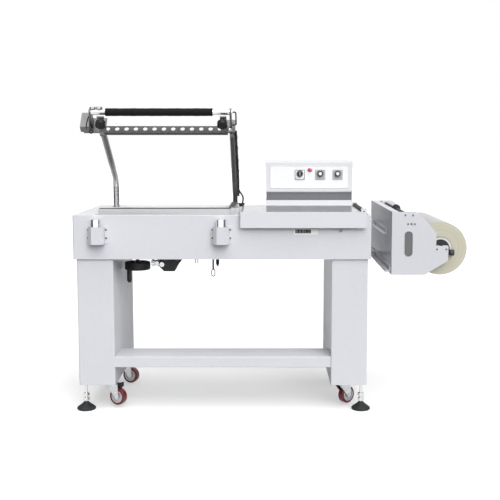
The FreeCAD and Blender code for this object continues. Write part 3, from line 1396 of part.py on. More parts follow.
def make_film_rollers():
    front_y1 = film_front_y + film_plate
    inner_length = film_length - 2 * film_plate
    clear_length = inner_length - 2 * moving_gap
    roll_y = front_y1 + roll_front_gap
    roll_start = Vector(roll_axis_x, roll_y, roll_axis_z)
    add("film_roll", ring(roll_radius, roll_core_radius, roll_start, Y_AXIS, roll_length),
        ring(roll_core_radius, roll_bore_radius, roll_start, Y_AXIS, roll_length))
    shaft_start = Vector(roll_axis_x, front_y1 + moving_gap, roll_axis_z)
    shaft = rod(roll_shaft_radius, shaft_start, Y_AXIS, clear_length)
    chucks = []
    for end, side in ((roll_y, -1), (roll_y + roll_length, 1)):
        centre = Vector(roll_axis_x, end, roll_axis_z)
        chuck = rod(chuck_flange_radius, centre, Y_AXIS * side, chuck_flange)
        chuck = chuck.fuse(rod(roll_bore_radius, centre, Y_AXIS * -side, chuck_depth))
        chucks.append(chuck.cut(shaft))
    add("roll_shaft", shaft, *chucks)

    idler_axis = Vector(film_left + idler_x, film_front_y, film_bottom + idler_z)
    roller = rod(idler_radius, idler_axis + Y_AXIS * (film_plate + moving_gap), Y_AXIS, clear_length)
    add("lower_idler", roller.fuse(rod(idler_pin_radius, idler_axis, Y_AXIS, film_length)))

    axis = Vector(film_left + perforator_x, front_y1 + moving_gap, film_top - perforator_drop)
    centre = Vector(axis.x, film_front_y + perforator_setback, axis.z)
    pinned = [rod(perforator_shaft_radius, axis, Y_AXIS, clear_length),
              rod(perforator_radius - perforator_pin_length, centre, Y_AXIS, perforator_width)]
    for i in range(perforator_pin_count):
        angle = 2 * math.pi * i / perforator_pin_count
        outward = Vector(math.cos(angle), 0, math.sin(angle))
        foot = centre + Y_AXIS * (perforator_width / 2) + outward * perforator_hub_radius
        pinned.append(rod(perforator_pin_radius, foot, outward, perforator_radius - perforator_hub_radius))
    add("perforator_wheels", pinned[0].fuse(pinned[1:]))


def make_machine_screws():
    screws = [cap_screw(place, Y_AXIS) for x in (left_magnet_x, right_magnet_x) for place in cover_screw_places(x)]
    screws += [cap_screw(place, Y_AXIS) for place in film_screw_places()]
    screws += [cap_screw(place, X_AXIS) for place in angle_screw_spots()]
    place = tray_lock_place()
    thumb = rod(thumbscrew_radius, place, Y_AXIS * -1, thumbscrew_height)
    screws.append(thumb.fuse(rod(screw_shank_radius, place, Y_AXIS, screw_shank_length)))
    add("machine_screws", *screws)


# ------------------------------------------------------------------ build, move to the row frame, write
def overall_box():
    box = FreeCAD.BoundBox()
    for shape in nodes.values():
        box.add(shape.optimalBoundingBox(False, False))
    return box


make_base_frame()
add("cabinet_body", *make_cabinet())
add("top_deck", *make_deck())
make_jaws()
make_magnets()
make_table()
make_gearbox()
make_handwheel()
make_pivot_bearings()
make_arm()
make_spring()
make_eye_rod()
make_glands()
make_tray()
make_control_box()
make_film_frame()
make_lock_knob()
make_film_rollers()
make_machine_screws()

whole = overall_box()
row_origin = Vector((whole.XMin + whole.XMax) / 2, (whole.YMin + whole.YMax) / 2, whole.ZMin)
os.makedirs("parts", exist_ok=True)
for node_name, node_shape in nodes.items():
    node_shape.translate(row_origin * -1)
    node_shape.exportStep("parts/" + node_name + ".step")
print(len(nodes), "nodes", "origin", tuple(round(v, 3) for v in row_origin))
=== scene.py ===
"""Looks of the L-bar sealer: studio, camera, the finish of every CAD node, and the detail pieces."""

import json
import math
import bmesh
import bpy
from mathutils import Matrix, Vector


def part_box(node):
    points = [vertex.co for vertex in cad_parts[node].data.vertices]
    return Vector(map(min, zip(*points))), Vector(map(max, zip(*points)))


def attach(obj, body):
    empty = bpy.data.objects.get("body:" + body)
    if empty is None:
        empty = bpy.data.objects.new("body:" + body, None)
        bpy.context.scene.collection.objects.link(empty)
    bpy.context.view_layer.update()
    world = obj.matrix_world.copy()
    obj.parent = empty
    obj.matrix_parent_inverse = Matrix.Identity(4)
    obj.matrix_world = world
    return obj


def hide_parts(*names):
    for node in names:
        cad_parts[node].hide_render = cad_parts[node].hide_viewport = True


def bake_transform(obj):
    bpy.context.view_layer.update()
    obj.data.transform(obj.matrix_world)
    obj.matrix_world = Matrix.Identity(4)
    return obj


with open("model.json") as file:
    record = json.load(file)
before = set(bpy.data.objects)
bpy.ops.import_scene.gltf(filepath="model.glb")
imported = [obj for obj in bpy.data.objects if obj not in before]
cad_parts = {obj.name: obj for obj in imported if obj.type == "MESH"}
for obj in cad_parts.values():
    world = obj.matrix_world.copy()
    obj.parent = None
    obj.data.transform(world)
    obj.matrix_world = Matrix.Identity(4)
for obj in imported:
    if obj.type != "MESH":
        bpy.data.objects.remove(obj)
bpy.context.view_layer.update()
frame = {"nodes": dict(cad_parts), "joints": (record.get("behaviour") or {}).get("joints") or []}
nodes = frame["nodes"]
joints = {joint["name"]: joint for joint in frame["joints"]}
scene = bpy.context.scene
scene.view_settings.view_transform = "Standard"

# ------------------------------------------------------------------ places, in mm as in the part's source
DECK_SHEET = 3.0
PIVOT_DROP = 22.0               # arm pivot under the deck
ARM_OPEN = math.radians(40.5)
BOX_RISE = 67.0                 # control box underside above the deck
BOX_LEAN = 12.0
BOX_HEIGHT = 147.0
BOX_FRONT = 550.0               # its face's lower edge
INSTRUMENT_HEIGHT = 83.0
KNOB_HEIGHT = 88.0              # knob shafts above the box underside
PANEL_MIDDLE = 72.0             # middle of the panel, up the face
PLATE_SIZE = 48.0               # timer and switch plates
FOIL_OUT, PRINT_OUT, LETTER_OUT = 1.5, 3.6, 3.55    # tops of the foil and the plates, out from the box
SWITCH_X, LAMP_X, LEFT_TIMER_X, RIGHT_TIMER_X = 343.0, 390.5, 439.4, 522.0
HOUSING_LEFT = -291.5           # gearbox housing's left side
CASTER_HUB_RADIUS = 27.0
ROLL_CORE_RADIUS = 50.0
CHUCK_RADIUS = 38.5             # dark jaws in the core's pale end
DIAL_CAP_RADIUS = 7.5
SLOT_X, SLOT_Z = 775.8, 727.4   # middle of the film plates' slot
SLOT_WIDTH, SLOT_HEIGHT = 34.5, 107.4
# ends and edges of the painted shadow strip along the deck's front
GAP_SHADOW_LEFT, GAP_SHADOW_RIGHT, GAP_SHADOW_LOW, GAP_SHADOW_HIGH = -530.0, 54.0, 848.0, 849.3
LABEL_LEFT, LABEL_RIGHT, LABEL_LOW, LABEL_HIGH = 299.0, 401.0, 761.0, 788.0
GLAND_X, GLAND_Y = 66.0, 566.0
FLOOR_GLAND_X, FLOOR_GLAND_Y = -53.0, 617.0
RIGHT_TUBE_X, CABLE_X = 36.0, 51.6                  # the right tube, and the cable on its outer side
TUBE_BEND_FORWARD, TUBE_BEND_RISE = 96.0, 112.5     # from the pivot, with the arm closed
TUBE_FRONT_Y, TUBE_FRONT_RISE = 82.5, 67.5
END_BOX_FRONT = 30.0
TAIL_DIAMETER = 8.0
SPRING_RADIUS, SPRING_WIRE = 11.0, 3.0
CHAIN_RADIUS, CHAIN_PITCH = 28.2, 8.0

cabinet_low, cabinet_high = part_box("cabinet_body")
bearing_low, bearing_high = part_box("pivot_bearings")
middle_x = (cabinet_low.x + cabinet_high.x) / 2
front_y = cabinet_low.y
deck_top = cabinet_high.z * 1000 + DECK_SHEET
pivot_z = deck_top - PIVOT_DROP


def spot(x, y, z):
    """A point of the row frame, from mm: x from the cabinet's middle, y from its front, z from the floor."""
    return Vector((middle_x + x / 1000, front_y + y / 1000, z / 1000))


def mm(point):
    return Vector(((point.x - middle_x) * 1000, (point.y - front_y) * 1000, point.z * 1000))


pivot_y = (mm(bearing_low).y + mm(bearing_high).y) / 2


def opened(x, y, z):
    """A point of the arm as drawn closed, turned open to its rest."""
    dy, dz = y - pivot_y, z - pivot_z
    return spot(x, pivot_y + dy * math.cos(ARM_OPEN) + dz * math.sin(ARM_OPEN),
                pivot_z - dy * math.sin(ARM_OPEN) + dz * math.cos(ARM_OPEN))


# ------------------------------------------------------------------ camera, light and floor
def make_camera():
    data = bpy.data.cameras.new("camera")
    data.sensor_width = 36.0
    data.lens = 67.25
    data.shift_x = -0.036
    camera = bpy.data.objects.new("camera", data)
    camera.location = spot(192, -3887, 1144)
    camera.rotation_euler = (math.radians(90 - 6.535), 0, 0)
    scene.collection.objects.link(camera)
    scene.camera = camera


def seen_directly(tree):
    """1 for camera, glossy and transmission rays, and 0 for the rays that light the object."""
    rays = tree.nodes.new("ShaderNodeLightPath")
    total = rays.outputs["Is Camera Ray"]
    for name in ("Is Glossy Ray", "Is Transmission Ray"):
        larger = tree.nodes.new("ShaderNodeMath")
        larger.operation = "MAXIMUM"
        tree.links.new(total, larger.inputs[0])
        tree.links.new(rays.outputs[name], larger.inputs[1])
        total = larger.outputs[0]
    return total


def make_world():
    """White where it is seen. For lighting, a soft sky that is brightest in front, above and to the right."""
    world = bpy.data.worlds.new("studio")
    scene.world = world
    world.use_nodes = True
    tree = world.node_tree
    place = tree.nodes.new("ShaderNodeTexCoord")
    towards = tree.nodes.new("ShaderNodeVectorMath")
    towards.operation = "DOT_PRODUCT"
    towards.inputs[1].default_value = Vector((0.45, -0.72, 0.53)).normalized()
    tree.links.new(place.outputs["Generated"], towards.inputs[0])
    level = tree.nodes.new("ShaderNodeMapRange")
    for name, value in (("From Min", 0.1), ("From Max", 1.0), ("To Min", 0.03), ("To Max", 0.85)):
        level.inputs[name].default_value = value
    tree.links.new(towards.outputs["Value"], level.inputs["Value"])
    soft = tree.nodes["Background"]
    soft.inputs["Color"].default_value = (0.98, 0.985, 1.0, 1)
    tree.links.new(level.outputs["Result"], soft.inputs["Strength"])
    white = tree.nodes.new("ShaderNodeBackground")
    white.inputs["Color"].default_value = (1, 1, 1, 1)
    mix = tree.nodes.new("ShaderNodeMixShader")
    tree.links.new(seen_directly(tree), mix.inputs["Fac"])
    tree.links.new(soft.outputs[0], mix.inputs[1])
    tree.links.new(white.outputs[0], mix.inputs[2])
    tree.links.new(mix.outputs[0], tree.nodes["World Output"].inputs["Surface"])


def make_sun(name, towards, strength, angle):
    data = bpy.data.lights.new(name, "SUN")
    data.energy = strength
    data.angle = math.radians(angle)
    sun = bpy.data.objects.new(name, data)
    sun.rotation_euler = Vector(towards).to_track_quat("Z", "Y").to_euler()
    scene.collection.objects.link(sun)


def make_floor():
    data = bpy.data.meshes.new("floor")
    reach = 40.0
    corners = [(-reach, -reach, 0), (reach, -reach, 0), (reach, reach, 0), (-reach, reach, 0)]
    data.from_pydata(corners, [], [(0, 1, 2, 3)])
    floor = bpy.data.objects.new("floor", data)
    scene.collection.objects.link(floor)
    material = bpy.data.materials.new("floor")
    material.use_nodes = True
    tree = material.node_tree
    shader = tree.nodes["Principled BSDF"]
    shader.inputs["Roughness"].default_value = 0.9
    shader.inputs["Specular IOR Level"].default_value = 0.1
    mix = tree.nodes.new("ShaderNodeMix")
    mix.data_type = "RGBA"
    tree.links.new(seen_directly(tree), mix.inputs[0])
    mix.inputs[6].default_value = (0.20, 0.20, 0.21, 1)
    mix.inputs[7].default_value = (0.75, 0.75, 0.75, 1)
    tree.links.new(mix.outputs[2], shader.inputs["Base Color"])
    glow = tree.nodes.new("ShaderNodeMath")
    glow.operation = "MULTIPLY"
    tree.links.new(seen_directly(tree), glow.inputs[0])
    glow.inputs[1].default_value = 0.45
    shader.inputs["Emission Color"].default_value = (1, 1, 1, 1)
    tree.links.new(glow.outputs[0], shader.inputs["Emission Strength"])
    data.materials.append(material)


def make_flags():
    """Dark boards beside the set, seen only in reflections, that give metal its dark bands."""
    material = bpy.data.materials.new("flag")
    material.use_nodes = True
    material.node_tree.nodes["Principled BSDF"].inputs["Base Color"].default_value = (0.02, 0.02, 0.02, 1)
    for side in (-1, 1):
        x = side * 3.2
        data = bpy.data.meshes.new("flag")
        data.from_pydata([(x, -2.0, 0.02), (x, 3.0, 0.02), (x, 3.0, 2.6), (x, -2.0, 2.6)], [], [(0, 1, 2, 3)])
        flag = bpy.data.objects.new("flag_%s" % ("left" if side < 0 else "right"), data)
        data.materials.append(material)
        scene.collection.objects.link(flag)
        flag.visible_camera = flag.visible_diffuse = flag.visible_shadow = flag.visible_transmission = False


make_camera()
make_world()
make_sun("key", (0.25, -0.85, 0.45), 1.75, 40)
make_sun("top", (0.10, -0.25, 0.95), 1.65, 60)
make_floor()
make_flags()


# ------------------------------------------------------------------ finishes
class Finish:
    """A procedural material on the principled shader, laid out in the object's own metres."""

    def __init__(self, name, colour, roughness, metallic=0.0, coat=0.0, soften=0.0, sheen=0.0):
        self.material = bpy.data.materials.new(name)
        self.material.use_nodes = True
        self.tree = self.material.node_tree
        self.shader = self.tree.nodes["Principled BSDF"]
        self.tint, self.rough, self.metal = (*colour, 1.0), roughness, metallic
        for socket, value in (("Base Color", self.tint), ("Roughness", roughness), ("Metallic", metallic),
                              ("Coat Weight", coat), ("Coat Roughness", 0.15), ("Sheen Weight", sheen)):
            self.shader.inputs[socket].default_value = value
        self.place = self.add("ShaderNodeTexCoord").outputs["Object"]
        self.normal = None
        if soften:
            bevel = self.add("ShaderNodeBevel", samples=4)
            bevel.inputs["Radius"].default_value = soften
            self.normal = bevel.outputs["Normal"]
            self.join(self.normal, self.shader.inputs["Normal"])

    def add(self, kind, **settings):
        made = self.tree.nodes.new(kind)
        for name, value in settings.items():
            setattr(made, name, value)
        return made

    def join(self, source, target):
        if isinstance(source, bpy.types.NodeSocket):
            self.tree.links.new(source, target)
        else:
            target.default_value = source

    def maths(self, operation, first, second=0.0):
        made = self.add("ShaderNodeMath", operation=operation)
        self.join(first, made.inputs[0])
        self.join(second, made.inputs[1])
        return made.outputs[0]

    def ranged(self, source, low, high, start=0.3, stop=0.7):
        made = self.add("ShaderNodeMapRange")
        for name, value in (("Value", source), ("From Min", start), ("From Max", stop), ("To Min", low),
                            ("To Max", high)):
            self.join(value, made.inputs[name])
        return made.outputs["Result"]

    def noise(self, size, stretch=(1, 1, 1), detail=3.0, place=None):
        """Noise with blobs of about size metres, drawn out along the axes by stretch."""
        mapping = self.add("ShaderNodeMapping")
        self.join(place or self.place, mapping.inputs["Vector"])
        self.join([1 / (size * s) for s in stretch], mapping.inputs["Scale"])
        made = self.add("ShaderNodeTexNoise")
        made.inputs["Scale"].default_value = 1.0
        made.inputs["Detail"].default_value = detail
        self.join(mapping.outputs["Vector"], made.inputs["Vector"])
        return made.outputs["Fac"]

    def along(self, axis):
        made = self.add("ShaderNodeSeparateXYZ")
        self.join(self.place, made.inputs[0])
        return made.outputs[axis]

    def from_line(self, centre, axis):
        """Distance in metres from a line."""
        offset = self.add("ShaderNodeVectorMath", operation="SUBTRACT")
        self.join(self.place, offset.inputs[0])
        self.join(list(centre), offset.inputs[1])
        cross = self.add("ShaderNodeVectorMath", operation="CROSS_PRODUCT")
        self.join(offset.outputs[0], cross.inputs[0])
        self.join(list(Vector(axis).normalized()), cross.inputs[1])
        length = self.add("ShaderNodeVectorMath", operation="LENGTH")
        self.join(cross.outputs[0], length.inputs[0])
        return length.outputs["Value"]

    def inside(self, distance, radius, blur=0.0004):
        return self.ranged(distance, 1.0, 0.0, radius - blur, radius + blur)

    def facing(self, axis, least=0.6):
        """1 on faces whose normal runs along the axis, either way."""
        geometry = self.add("ShaderNodeNewGeometry")
        made = self.add("ShaderNodeSeparateXYZ")
        self.join(geometry.outputs["True Normal"], made.inputs[0])
        return self.ranged(self.maths("ABSOLUTE", made.outputs[axis]), 0.0, 1.0, least - 0.05, least + 0.05)

    def tinted(self, mask, colour, roughness=None, metallic=None):
        """Another colour where the mask is 1, and if given another roughness and metal."""
        mix = self.add("ShaderNodeMix", data_type="RGBA")
        self.join(mask, mix.inputs[0])
        self.join(self.tint, mix.inputs[6])
        self.join((*colour, 1.0) if isinstance(colour, tuple) else colour, mix.inputs[7])
        self.tint = mix.outputs[2]
        self.join(self.tint, self.shader.inputs["Base Color"])
        if roughness is not None:
            self.rough = self.ranged(mask, self.rough, roughness, 0.0, 1.0)
            self.join(self.rough, self.shader.inputs["Roughness"])
        if metallic is not None:
            self.metal = self.ranged(mask, self.metal, metallic, 0.0, 1.0)
            self.join(self.metal, self.shader.inputs["Metallic"])
        return self

    def mottled(self, amount, size, stretch=(1, 1, 1), place=None):
        """Lighter and darker patches in the colour."""
        scale = self.add("ShaderNodeVectorMath", operation="SCALE")
        self.join(self.tint[:3] if isinstance(self.tint, tuple) else self.tint, scale.inputs[0])
        share = self.ranged(self.noise(size, stretch, place=place), 1 - amount, 1 + amount)
        self.join(share, scale.inputs["Scale"])
        self.tint = scale.outputs[0]
        self.join(self.tint, self.shader.inputs["Base Color"])
        return self

    def uneven(self, amount, size, stretch=(1, 1, 1)):
        """Duller and shinier patches."""
        self.rough = self.maths("ADD", self.rough, self.ranged(self.noise(size, stretch), -amount, amount))
        self.join(self.rough, self.shader.inputs["Roughness"])
        return self

    def bumped(self, height, depth):
        bump = self.add("ShaderNodeBump")
        bump.inputs["Distance"].default_value = depth
        self.join(height, bump.inputs["Height"])
        if self.normal:
            self.join(self.normal, bump.inputs["Normal"])
        self.normal = bump.outputs["Normal"]
        self.join(self.normal, self.shader.inputs["Normal"])
        return self

    def grained(self, size, depth, stretch=(1, 1, 1)):
        return self.bumped(self.noise(size, stretch), depth)


def painted(name, colour, roughness=0.45, coat=0.1):
    """Powder coat: faint patches and a fine orange peel."""
    made = Finish(name, colour, roughness, coat=coat, soften=0.0014)
    made.shader.inputs["Specular IOR Level"].default_value = 0.2
    return made.mottled(0.018, 0.30).mottled(0.012, 0.012).uneven(0.05, 0.08).grained(0.0022, 0.00005)


def metal(name, colour, roughness, stretch=(1, 1, 1), spots=0.06):
    """Bare or plated metal: drawn grain, stains and handling marks."""
    made = Finish(name, colour, roughness, metallic=1.0, soften=0.0008)
    return made.mottled(spots, 0.03, stretch).mottled(spots * 0.7, 0.004).uneven(0.07, 0.01, stretch) \
        .grained(0.0007, 0.00002, stretch)


def plastic(name, colour, roughness=0.35, coat=0.0):
    made = Finish(name, colour, roughness, coat=coat, soften=0.0008)
    made.shader.inputs["Specular IOR Level"].default_value = 0.25
    return made.mottled(0.05, 0.02).uneven(0.06, 0.015).grained(0.0009, 0.00003)


LONG_X, LONG_Y = (14, 1, 1), (1, 14, 1)
PAINT = (0.685, 0.695, 0.725)
paint = painted("machine_paint", PAINT)
deck_paint = painted("deck_paint", (0.74, 0.75, 0.775), roughness=0.34)
tray_paint = Finish("tray_paint", PAINT, 0.3, coat=0.8, soften=0.0014)
# Faces turned up or down are painted darker: painted shade on the tray's top.
tray_paint.tinted(tray_paint.facing("Z"), (0.27, 0.275, 0.29)).mottled(0.015, 0.2)
tray_paint.shader.inputs["Coat Roughness"].default_value = 0.08
film_unit_paint = painted("film_unit_paint", (0.655, 0.66, 0.69))
# Faces turned along X are painted darker: painted shade on the film unit's sides.
film_unit_paint.tinted(film_unit_paint.facing("X"), (0.44, 0.44, 0.475))
housing_paint = painted("housing_paint", (0.655, 0.66, 0.68))
# Dark grey of the slot cups: painted shade inside the film plates' slots.
slot_shade_grey = painted("slot_shade_grey", (0.16, 0.163, 0.168), roughness=0.5)
box_grey = painted("end_box_grey", (0.27, 0.27, 0.275), roughness=0.5)
# The control base's dark grey is painted shade under the control box's overhang.
neck_dark = painted("neck_dark", (0.165, 0.17, 0.175), roughness=0.55)
aluminium = metal("jaw_aluminium", (0.47, 0.475, 0.485), 0.36, LONG_X)
pad_dark = plastic("pad_silicone", (0.06, 0.058, 0.056), 0.6)
magnet_steel = metal("magnet_steel", (0.82, 0.83, 0.85), 0.16, (1, 1, 0.2))
tube_steel_and_shade = metal("tube_steel_and_shade", (0.45, 0.455, 0.46), 0.32, spots=0.1)
# Darker above about 1 m, blended in from 0.96 to 1.06 m: painted shade on the tube's upper part.
tube_steel_and_shade.tinted(tube_steel_and_shade.ranged(tube_steel_and_shade.along("Z"), 0.0, 1.0, 0.96, 1.06), (0.16, 0.16, 0.165))
bracket_steel = metal("bracket_steel", (0.15, 0.15, 0.153), 0.45, spots=0.16)
arm_dark = painted("arm_dark", (0.035, 0.034, 0.037), roughness=0.38)
blade = plastic("blade_tape", (0.11, 0.10, 0.09), 0.5)
chrome = metal("chrome", (0.80, 0.81, 0.82), 0.14, spots=0.03)
handle_steel = metal("handle_steel", (0.66, 0.665, 0.67), 0.24, spots=0.05)
bolt_grey = metal("bolt_grey", (0.38, 0.385, 0.39), 0.35, spots=0.1)
zinc = metal("zinc", (0.55, 0.56, 0.57), 0.3, spots=0.12)
screw_steel = metal("screw_steel", (0.16, 0.16, 0.17), 0.35, spots=0.1)
black_oxide = metal("black_oxide", (0.03, 0.029, 0.029), 0.42, spots=0.15)
table_steel = metal("table_steel", (0.58, 0.585, 0.60), 0.3, LONG_X)
bronze = metal("nut_bronze", (0.62, 0.46, 0.24), 0.34, spots=0.1)
roller_metal = metal("roller_aluminium", (0.72, 0.73, 0.74), 0.28, LONG_Y)
roller_metal.tinted(roller_metal.facing("Y"), (0.16, 0.16, 0.165), 0.45)
jacket = plastic("cable_jacket", (0.022, 0.022, 0.023), 0.42)
black_plastic = plastic("black_plastic", (0.02, 0.02, 0.021), 0.3, coat=0.25)
black_matte = plastic("black_matte", (0.03, 0.03, 0.031), 0.48)
roller_rubber = plastic("roller_rubber", (0.03, 0.031, 0.033), 0.55)
panel_white = painted("panel_foil", (0.80, 0.805, 0.81), roughness=0.3, coat=0.2)
plate_grey = painted("dial_plate", (0.42, 0.425, 0.43), roughness=0.5)
plate_white = painted("switch_plate", (0.80, 0.80, 0.80), roughness=0.45)
ink = plastic("ink", (0.03, 0.03, 0.035), 0.6)
sticker = painted("sticker", (0.86, 0.865, 0.87), roughness=0.3)
lamp_red = Finish("lamp_red", (0.55, 0.025, 0.075), 0.18, coat=0.6).mottled(0.1, 0.004).grained(0.002, 0.0001)


def two_tone_foot():
    made = plastic("foot_rubber_and_steel", (0.026, 0.027, 0.029), 0.5)
    return made.tinted(made.ranged(made.along("Z"), 0, 1, 0.0358, 0.0362), (0.62, 0.63, 0.62), 0.24, 1.0)


def gearbox_finish():
    """Dark enamel housing, and the bright coupling shaft on its left."""
    made = painted("gearbox_enamel", (0.03, 0.031, 0.033), roughness=0.35)
    start, stop = (spot(HOUSING_LEFT + blur, 0, 0).x for blur in (-0.5, 0.5))
    shaft = made.ranged(made.along("X"), 1, 0, start, stop)
    return made.tinted(shaft, (0.72, 0.72, 0.73), 0.14, 1.0)


def bar_finish():
    """Dark bar, brighter on the faces turned most nearly up or down."""
    made = metal("bar_finish", (0.075, 0.076, 0.078), 0.42, LONG_X, spots=0.14)
    return made.tinted(made.facing("Z", 0.705), (0.24, 0.24, 0.243))


def caster_wheel(joint):
    """Maroon tyre round a pale hub."""
    made = plastic("caster_" + joint["child"], (0.16, 0.012, 0.015), 0.32, coat=0.3)
    distance = made.from_line(joint["pos_m"], joint["axis"])
    made.tinted(made.inside(distance, CASTER_HUB_RADIUS / 1000), (0.52, 0.535, 0.55), 0.38, 0.4)
    return made.mottled(0.12, 0.006)


def dial(joint):
    made = plastic(joint["child"], (0.03, 0.03, 0.032), 0.35)
    distance = made.from_line(joint["pos_m"], joint["axis"])
    return made.tinted(made.inside(distance, DIAL_CAP_RADIUS / 1000), (0.80, 0.81, 0.81))


def chuck(joint):
    """Black shaft and jaws, and the pale end of the roll's card core round them."""
    made = plastic("roll_chuck", (0.025, 0.025, 0.026), 0.45)
    distance = made.from_line(joint["pos_m"], joint["axis"])
    jaws = made.maths("MULTIPLY", made.facing("Y"), made.inside(distance, CHUCK_RADIUS / 1000))
    core = made.maths("SUBTRACT", made.facing("Y"), jaws)
    return made.tinted(core, (0.66, 0.65, 0.64), 0.6)


def film_winding(joint):
    """Clear film wound on a card core: rings on the ends, a tight grey barrel."""
    made = Finish("film_winding", (0.27, 0.265, 0.29), 0.3, coat=0.5)
    made.mottled(0.07, 0.05, (1, 9, 1)).grained(0.012, 0.0006, (1, 12, 1))
    distance = made.from_line(joint["pos_m"], joint["axis"])
    rings = made.add("ShaderNodeCombineXYZ")
    made.join(distance, rings.inputs["X"])
    end = made.facing("Y")
    fine = made.noise(0.0009, place=rings.outputs[0])
    coarse = made.noise(0.012, place=rings.outputs[0])
    blend = made.maths("MULTIPLY", made.maths("ADD", fine, coarse), 0.5)
    pale = made.add("ShaderNodeMix", data_type="RGBA")
    made.join(made.ranged(blend, 0, 1, 0.38, 0.62), pale.inputs[0])
    made.join((0.485, 0.46, 0.35, 1), pale.inputs[6])
    made.join((0.575, 0.555, 0.44, 1), pale.inputs[7])
    made.tinted(end, pale.outputs[2], 0.45)
    # Darker within the core's radius: a painted shadow ring round the card core.
    made.tinted(made.inside(distance, ROLL_CORE_RADIUS / 1000), (0.26, 0.25, 0.23), 0.6)
    return made.bumped(made.maths("MULTIPLY", fine, end), 0.0003)


finishes = {
    "legs": paint, "bottom_beam": paint, "cabinet_body": paint, "magnet_covers": paint,
    "control_box": housing_paint, "top_deck": deck_paint, "feed_tray": tray_paint,
    "film_frame": film_unit_paint, "end_box": box_grey, "control_base": neck_dark,
    "lift_gearbox": gearbox_finish(), "jaw_rails": aluminium, "jaw_pads": pad_dark,
    "electromagnets": magnet_steel, "left_arm_tube": tube_steel_and_shade, "right_arm_tube": arm_dark,
    "seal_bars": bar_finish(), "end_brackets": bracket_steel, "seal_blades": blade,
    "handle_tube": handle_steel, "machine_screws": screw_steel, "arm_fasteners": chrome,
    "pivot_bearings": zinc, "pivot_shaft": zinc, "eye_rod": bracket_steel, "lift_rods": chrome,
    "roll_shaft": chuck(joints["film_roll_spin"]), "armature_discs": black_oxide,
    "perforator_wheels": black_matte, "work_table": table_steel, "lift_nut": bronze,
    "lower_idler": roller_metal, "tray_roller": roller_rubber, "arm_cables": jacket,
    "handwheel": black_matte, "handwheel_grip": black_plastic, "switch_knob": black_plastic,
    "roll_lock_knob": black_plastic, "timer_dial_left": dial(joints["timer_dial_left_turn"]),
    "timer_dial_right": dial(joints["timer_dial_right_turn"]),
    "film_roll": film_winding(joints["film_roll_spin"]), "control_panel": panel_white,
    "foam_grip": black_matte, "cable_gland": black_matte, "drive_chain": black_oxide,
    "return_spring": zinc,
}
foot_finish = two_tone_foot()
for name, node in nodes.items():
    if name.startswith("levelling_foot"):
        finishes[name] = foot_finish
    elif name.startswith("caster_fork"):
        finishes[name] = zinc
    elif name.startswith("brake_pedal"):
        finishes[name] = black_oxide
    elif name.startswith("caster_wheel"):
        finishes[name] = caster_wheel(joints[name.replace("caster_wheel", "caster_wheel_spin")])
    for place in node.material_slots:
        place.material = finishes[name].material


# ------------------------------------------------------------------ detail pieces
class Piece:
    """A detail piece gathered in one mesh, then fixed to a body."""

    def __init__(self, name):
        self.name = name
        self.mesh = bmesh.new()

    def skin(self, rings, closed=False):
        """Faces between rings of points, with caps at both ends unless the rings close on themselves."""
        rows = [[self.mesh.verts.new(point) for point in ring] for ring in rings]
        for first, second in list(zip(rows, rows[1:])) + ([(rows[-1], rows[0])] if closed else []):
            for i in range(len(first)):
                j = (i + 1) % len(first)
                self.mesh.faces.new((first[i], first[j], second[j], second[i]))
        if not closed:
            self.mesh.faces.new(rows[0][::-1])
            self.mesh.faces.new(rows[-1])
        return self

    def turned(self, profile, centre, axis, segments=32):
        """(radius, height) pairs in metres, turned about an axis through the centre."""
        turn = Vector(axis).to_track_quat("Z", "Y").to_matrix()
        angles = [2 * math.pi * i / segments for i in range(segments)]
        return self.skin([[centre + turn @ Vector((r * math.cos(a), r * math.sin(a), h)) for a in angles]
                          for r, h in profile])

    def cap_head(self, centre, axis, radius, height):
        """A socket cap: a round head with a rounded rim."""
        edge = radius * 0.15
        self.turned([(radius, 0), (radius, height - edge), (radius - edge, height)], centre, axis, 24)
        return self

    def hex_head(self, centre, axis, flats, height):
        corner = flats / math.sqrt(3)
        return self.turned([(corner, 0), (corner, height * 0.82), (corner * 0.9, height)], centre, axis, 6)

    def slab(self, outline, thickness):
        return self.skin([outline, [point + thickness for point in outline]])

    def tube(self, points, radius, segments=10, closed=False):
        """A round bar through a row of points."""
        rings, side, count = [], None, len(points)
        for i, point in enumerate(points):
            behind = points[i - 1] if closed or i else point
            beyond = points[(i + 1) % count] if closed or i + 1 < count else point
            ahead = (beyond - behind).normalized()
            side = ahead.orthogonal() if side is None else side - ahead * side.dot(ahead)
            side.normalize()
            up = ahead.cross(side)
            rings.append([point + (side * math.cos(a) + up * math.sin(a)) * radius
                          for a in (2 * math.pi * k / segments for k in range(segments))])
        return self.skin(rings, closed)

    def fix(self, finish, body, slot, edge=0.0, replaces=()):
        """Make the object, shade it, and let it ride on its body (none yet for a piece that blends)."""
        bmesh.ops.recalc_face_normals(self.mesh, faces=self.mesh.faces)
        data = bpy.data.meshes.new(self.name)
        self.mesh.to_mesh(data)
        self.mesh.free()
        data.shade_smooth()
        data.set_sharp_from_angle(angle=math.radians(38))
        data.materials.append(finish.material)
        item = bpy.data.objects.new(self.name, data)
        scene.collection.objects.link(item)
        if edge:
            bevel = item.modifiers.new("edge", "BEVEL")
            bevel.width, bevel.segments, bevel.limit_method = edge, 2, "ANGLE"
        if body:
            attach(item, body)
        if replaces:
            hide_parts(*replaces)
        return item


def smooth_route(points):
    """Points along the NURBS spline whose control points are given."""
    data = bpy.data.curves.new("route", "CURVE")
    data.dimensions = "3D"
    spline = data.splines.new("NURBS")
    spline.points.add(len(points) - 1)
    for place, point in zip(spline.points, points):
        place.co = (*point, 1)
    spline.order_u = 3
    spline.use_endpoint_u = True
    spline.resolution_u = 12
    item = bpy.data.objects.new("route", data)
    line = bpy.data.meshes.new_from_object(item)
    found = [vertex.co.copy() for vertex in line.vertices]
    bpy.data.objects.remove(item)
    return found


